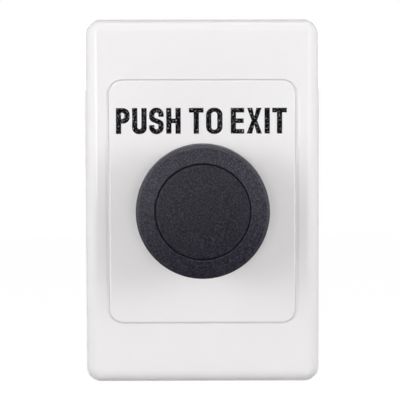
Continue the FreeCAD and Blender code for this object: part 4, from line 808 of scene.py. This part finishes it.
# %% Insert
CROWN, DISC, DOME_EDGE = box_mm("cap_insert")[0][1], 14.07, 0.45
EDGE, EDGE_RISE, EDGE_FALL = 0.3, 0.02, 0.26
COLLAR_OUT, COLLAR_IN, COLLAR = 10.45, 9.25, 1.2
rise = GROOVE_FACE - CROWN
dome_radius = (DISC**2 + rise**2) / (2 * rise)
r = np.linspace(0, DISC - DOME_EDGE, 24)
dome = np.stack([r, CROWN + dome_radius - np.sqrt(dome_radius**2 - r**2)], axis=-1)
rest_of_disc = rounded(
    [
        (DISC - EDGE, GROOVE_FACE - EDGE_RISE, 0.1),
        (DISC, GROOVE_FACE + EDGE_FALL, 0.1),
        (DISC, INSERT_BACK, 0.1),
        (COLLAR_OUT, INSERT_BACK),
        (COLLAR_OUT, INSERT_BACK + COLLAR),
        (COLLAR_IN, INSERT_BACK + COLLAR),
        (COLLAR_IN, INSERT_BACK),
        (0.0, INSERT_BACK),
    ],
    closed=False,
)
disc_grid = turned(np.concatenate([dome, rest_of_disc]), ROUND_STEPS)
disc_mesh = mesh_of_grids("cap_disc", [(disc_grid, False, True)])
add_piece("cap_disc", disc_mesh, insert_plastic_shaded_darker, "button", ["cap_insert"])
print(f"insert {2 * DISC:.1f} mm wide, dome radius {dome_radius:.0f} mm")

# %% [markdown]
# ## The operator with its thread
# The barrel carries an M22 thread of 1.5 mm pitch. In the solid it is a plain cylinder. A thread could be cut
# with a boolean along a helix, but that is slow and leaves ragged faces, and a height map of it needs only
# the grid that the barrel has anyway. Here the radius falls in a wave that climbs by one pitch each turn:
# with u = depth / pitch less angle / full turn, the wave is the distance from u to the nearest whole number,
# doubled. It is stretched a little and cut off at both ends, which gives the crest and the root a narrow
# flat, and it fades out at both ends of the thread.

# %% Threaded barrel
barrel_low, barrel_high = box_mm("operator_barrel")
BEZEL_FACE, BARREL_END = barrel_low[1], barrel_high[1]
BEZEL, BARREL, GASKET_FACE = 14.8, 11.0, BEZEL_FACE + 7.0
MOUTH, MOUTH_FLOOR, GUIDE = 10.2, BEZEL_FACE + 2.4, 8.3
LEDGE_FRONT, LEDGE_BACK, LEDGE_HOLE, SPRING_BORE = 6.0, 8.5, 4.3, 8.5
PITCH, THREAD_DEPTH, FADE, STRETCH, CUT = 1.5, 0.62, 0.8, 1.25, 0.1
ROWS_A_TURN, COLUMNS = 10, 120
THREAD_START, THREAD_END = GASKET_FACE + 4.2, BARREL_END - 0.6
bezel_profile = rounded(
    [
        (MOUTH, BEZEL_FACE),
        (BEZEL, BEZEL_FACE, 1.6),
        (BEZEL, GASKET_FACE, 0.2),
        (BARREL, GASKET_FACE),
    ],
    closed=False,
    steps=8,
)
inside_profile = np.array([
    (BARREL - 0.5, BARREL_END),
    (SPRING_BORE, BARREL_END),
    (SPRING_BORE, LEDGE_BACK),
    (LEDGE_HOLE, LEDGE_BACK),
    (LEDGE_HOLE, LEDGE_FRONT),
    (GUIDE, LEDGE_FRONT),
    (GUIDE, MOUTH_FLOOR),
    (MOUTH, MOUTH_FLOOR),
])
rows = int((THREAD_END - THREAD_START) / PITCH * ROWS_A_TURN)
depths = np.linspace(THREAD_START, THREAD_END, rows)
thread = turned(np.stack([np.full_like(depths, BARREL), depths], axis=-1), COLUMNS)
angle = np.linspace(0, 1, COLUMNS, endpoint=False)[None, :]
u = depths[:, None] / PITCH - angle
wave = 2 * np.abs(u - np.round(u))
fade = np.clip(np.minimum(depths - THREAD_START, THREAD_END - depths) / FADE, 0, 1)[:, None]
radius = BARREL - THREAD_DEPTH * np.clip(STRETCH * wave - CUT, 0, 1) * fade
thread[..., 0] = radius * np.cos(2 * np.pi * angle)
thread[..., 2] = AXIS + radius * np.sin(2 * np.pi * angle)
barrel_grid = np.concatenate([turned(bezel_profile, COLUMNS), thread, turned(inside_profile, COLUMNS)])
KEY_HALF, KEY_FRONT, KEY_BACK, KEY_ROOT, KEY_TOP = 1.5, -9.0, -6.1, BARREL - 1, 11.95
key = slab((-KEY_HALF, KEY_FRONT, AXIS + KEY_ROOT), (KEY_HALF, KEY_BACK, AXIS + KEY_TOP))
barrel_mesh = mesh_of_grids("threaded_operator", [(barrel_grid, True, True), (key, False, True)], sharp=50)
add_piece("threaded_operator", barrel_mesh, nylon, "root", ["operator_barrel"])
print(f"thread of {(THREAD_END - THREAD_START) / PITCH:.1f} turns, {len(barrel_mesh.polygons)} faces")

# %% [markdown]
# ## Springs
# Each spring is round wire, carried along a helix. The end turns lie flat on their neighbours, as on a real
# compression spring, so the height grows slowly at both ends and evenly between. The wire's round section
# stands square to the helix: it is spanned by the outward direction and by the helix's own upright.

# %% Coils
END_TURN, STEPS_A_TURN, SECTION = 0.8, 40, 10


def spring_grid(centre, wire, diameter, turns, low, high):
    """Round wire along a helix about an axis parallel to Y, as (points, rows wrap, columns wrap).

    The helix is (R cos a, y, R sin a). Over the first and last 0.8 turn, y rises by half the wire a turn.
    """
    share = np.linspace(0, 1, int(turns * STEPS_A_TURN) + 1)
    flat = END_TURN / turns
    start, end = low + wire / 2, high - wire / 2
    lift = 0.5 * wire * END_TURN
    y = np.interp(share, [0, flat, 1 - flat, 1], [start, start + lift, end - lift, end])
    a = 2 * np.pi * turns * share
    outward = np.stack([np.cos(a), 0 * a, np.sin(a)], axis=-1)
    line = outward * diameter / 2
    line[:, 1] = y
    along = np.gradient(line, axis=0)
    along /= np.linalg.norm(along, axis=1, keepdims=True)
    upright = np.cross(along, outward)
    b = np.linspace(0, 2 * np.pi, SECTION, endpoint=False)[None, :, None]
    tube = line[:, None] + wire / 2 * (np.cos(b) * outward[:, None] + np.sin(b) * upright[:, None])
    ends = np.repeat(line[[0, -1], None], SECTION, axis=1)
    tube = np.concatenate([ends[:1], tube, ends[1:]])
    return tube + np.array([centre[0], 0, centre[1]]), False, True


print(f"a coil has {STEPS_A_TURN} rings of {SECTION} points a turn")

# %% [markdown]
# The button pushes both block plungers in by its whole travel, and their springs shorten with them, towards
# the end that stays. The contact springs sit between a plunger and its bridge, which moves by 2.5 mm only. In
# the make block the plunger comes nearer to its bridge, so that spring shortens by the difference. In the
# break block it draws away from it. A squash can't lengthen a piece, so there the spring keeps its length.


def add_spring(name, node, wire, turns, joint):
    """A spring coiled in the place of its solid; one that rides on a joint gets a mesh of its own."""
    low, high = box_mm(node)
    centre = ((low[0] + high[0]) / 2, (low[2] + high[2]) / 2)
    grid = spring_grid(centre, wire, high[0] - low[0] - wire, turns, low[1], high[1])
    mesh = mesh_of_grids(name, [grid], sharp=60)
    made = add_piece(name, mesh, wire_steel, BODY_OF[node], [node])
    if joint:
        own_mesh(made)


add_spring("return_coil", "return_spring", 0.9, 6.5, "press")
for kind in ("make", "break"):
    slide = f"{kind}_slider_slide"
    squeezed = slide if kind == "make" else ""
    add_spring(f"{kind}_block_coil", f"{kind}_block_spring", 0.4, 9, slide)
    add_spring(f"{kind}_contact_coil", f"{kind}_contact_spring", 0.35, 5, squeezed)
print("five springs coiled")

# %% [markdown]
# ## The printed legend
# The line above the button is printed in a black ink that lies on the plastic in a thin, slightly starved
# layer, so that pale specks show through. It is a plain instruction set in condensed bold capitals. A font
# would bring its own shapes, so each letter is drawn here as an outline on a unit-high grid. The outlines
# are filled as a flat curve, given the ink's thickness and turned to a mesh that stands on the panel.

# %% Letters
STEM, BAR = 0.192, 0.18


def ribbon(line, half):
    """The outline of a stroke: the line moved half its width to one side, and back along the other side."""
    along = np.gradient(line, axis=0)
    along /= np.linalg.norm(along, axis=1, keepdims=True)
    across = np.stack([-along[:, 1], along[:, 0]], axis=-1) * half
    return np.concatenate([line + across, (line - across)[::-1]])


def s_outline(w):
    """An S: one stroke of two opposite bows."""
    left, right, low, high = STEM / 2, w - STEM / 2, BAR / 2 - 0.01, 1 - BAR / 2 + 0.01
    path = [(right, 0.66), (right, high, 0.17), (left, high, 0.17), (left, 0.57, 0.13)]
    path += [(right, 0.43, 0.13), (right, low, 0.17), (left, low, 0.17), (left, 0.34)]
    return ribbon(rounded(path, closed=False, steps=8), STEM / 2)


# Each letter has its width and a function that gives its outlines for that width.
LETTERS = {
    "P": (0.5, lambda w: [
        rounded([(0, 0), (0, 1), (w, 1, 0.24), (w, 0.4, 0.24), (STEM, 0.4), (STEM, 0)], steps=8),
        rounded([
            (STEM, 1 - BAR), (w - STEM, 1 - BAR, 0.09), (w - STEM, 0.4 + BAR, 0.09), (STEM, 0.4 + BAR),
        ], steps=6),
    ]),
    "U": (0.53, lambda w: [rounded([
        (0, 1), (0, -0.01, 0.24), (w, -0.01, 0.24), (w, 1),
        (w - STEM, 1), (w - STEM, BAR, 0.09), (STEM, BAR, 0.09), (STEM, 1),
    ], steps=8)]),
    "S": (0.53, lambda w: [s_outline(w)]),
    "H": (0.53, lambda w: [np.array([
        (0, 0), (0, 1), (STEM, 1), (STEM, 0.5 + BAR / 2), (w - STEM, 0.5 + BAR / 2), (w - STEM, 1),
        (w, 1), (w, 0), (w - STEM, 0), (w - STEM, 0.5 - BAR / 2), (STEM, 0.5 - BAR / 2), (STEM, 0),
    ])]),
    "T": (0.53, lambda w: [np.array([
        (0, 1), (w, 1), (w, 1 - BAR), ((w + STEM) / 2, 1 - BAR), ((w + STEM) / 2, 0),
        ((w - STEM) / 2, 0), ((w - STEM) / 2, 1 - BAR), (0, 1 - BAR),
    ])]),
    "O": (0.6, lambda w: [
        rounded([(0, -0.01, 0.28), (w, -0.01, 0.28), (w, 1.01, 0.28), (0, 1.01, 0.28)], steps=10),
        rounded([
            (STEM, 0.15, 0.12), (w - STEM, 0.15, 0.12), (w - STEM, 0.85, 0.12), (STEM, 0.85, 0.12),
        ], steps=8),
    ]),
    "E": (0.49, lambda w: [np.array([
        (0, 0), (0, 1), (w, 1), (w, 1 - BAR), (STEM, 1 - BAR), (STEM, 0.5 + BAR / 2),
        (w - 0.02, 0.5 + BAR / 2), (w - 0.02, 0.5 - BAR / 2), (STEM, 0.5 - BAR / 2),
        (STEM, BAR), (w, BAR), (w, 0),
    ])]),
    "X": (0.56, lambda w: [np.array([
        (0, 0), (w / 2 - 0.1, 0.51), (0.015, 1), (0.015 + 0.19, 1), (w / 2, 0.67), (w - 0.205, 1),
        (w - 0.015, 1), (w / 2 + 0.1, 0.51), (w, 0), (w - 0.195, 0), (w / 2, 0.35), (0.195, 0),
    ])]),
    "I": (STEM, lambda w: [np.array([(0, 0), (0, 1), (w, 1), (w, 0)])]),
}
print(f"{len(LETTERS)} letters drawn, with stems {STEM} of their height")

# %% Legend
LEGEND, LETTER_HEIGHT, LETTER_GAP, WORD_GAP = "PUSH TO EXIT", 8.1, 0.09, 0.3
LEGEND_CENTRE_X, LEGEND_FOOT_Z, LEGEND_WIDTH, INK, SUNK = -0.26, 21.55, 53.8, 0.03, 0.005
outlines, cursor = [], 0.0
for letter in LEGEND:
    if letter == " ":
        cursor += WORD_GAP - LETTER_GAP
        continue
    width, draw = LETTERS[letter]
    outlines += [outline + np.array([cursor, 0]) for outline in draw(width)]
    cursor += width + LETTER_GAP
line_width = cursor - LETTER_GAP
legend_curve = bpy.data.curves.new("legend", "CURVE")
legend_curve.dimensions, legend_curve.fill_mode = "2D", "BOTH"
legend_curve.extrude = INK / 2
for outline in outlines:
    spline = legend_curve.splines.new("POLY")
    spline.points.add(len(outline) - 1)
    flat = np.zeros((len(outline), 4))
    flat[:, 0] = outline[:, 0] / line_width * LEGEND_WIDTH
    flat[:, 1] = outline[:, 1] * LETTER_HEIGHT
    flat[:, 3] = 1
    spline.points.foreach_set("co", flat.ravel())
    spline.use_cyclic_u = True
legend_holder = bpy.data.objects.new("legend_curve", legend_curve)
bpy.context.scene.collection.objects.link(legend_holder)
graph = bpy.context.evaluated_depsgraph_get()
legend_mesh = bpy.data.meshes.new_from_object(legend_holder.evaluated_get(graph))
bpy.data.objects.remove(legend_holder)
print(f"legend of {len(outlines)} outlines, {len(legend_mesh.polygons)} faces")

# %% [markdown]
# The curve's mesh lies flat, with its letters' height along Y. Its points are stood up on the panel: across
# stays across, the height goes up, and the ink's thickness goes outwards from the panel's front, into which
# its back sinks by 5 thousandths of a millimetre. The ink is matt, and where it is thinnest the panel shows.

# %% Legend on the panel
flat = np.empty(len(legend_mesh.vertices) * 3)
legend_mesh.vertices.foreach_get("co", flat)
flat = flat.reshape(-1, 3)
stood = np.stack(
    [
        flat[:, 0] - LEGEND_WIDTH / 2 + LEGEND_CENTRE_X,
        PANEL_FRONT - flat[:, 2] - INK / 2 + SUNK,
        flat[:, 1] + LEGEND_FOOT_Z,
    ],
    axis=-1,
)
legend_mesh.vertices.foreach_set("co", (stood * MM).ravel())
tidy_mesh(legend_mesh, sharp=30)
INK_SPECKS = 0.5
ink_look = {"IOR": 1.5, "Roughness": 0.55, "Specular_IOR_Level": 0.04}
ink, tree, shader = new_finish("screen-printed ink, black", "#08080B", **ink_look)
place = add_node(tree, "TexCoord").outputs["Object"]
starved = {"Vector": place, "Scale": grain(INK_SPECKS), "Detail": 3.0, "Roughness": 0.65}
specks = add_node(tree, "TexNoise", starved)
thin = add_node(tree, "MapRange", {"Value": specks.outputs["Fac"], "From Min": 0.58, "From Max": 0.66})
tones = {"Factor": thin.outputs["Result"], "A": linear("#060608"), "B": linear("#C6C7CD")}
tree.links.new(add_node(tree, "Mix", tones, data_type="RGBA").outputs["Result"], shader.inputs["Base Color"])
add_bumps(tree, shader, [(specks.outputs["Fac"], 0.02, 0.5)])
add_piece("legend", legend_mesh, ink, "root")
print(f"legend {LEGEND_WIDTH} x {LETTER_HEIGHT} mm, specks {INK_SPECKS} mm")
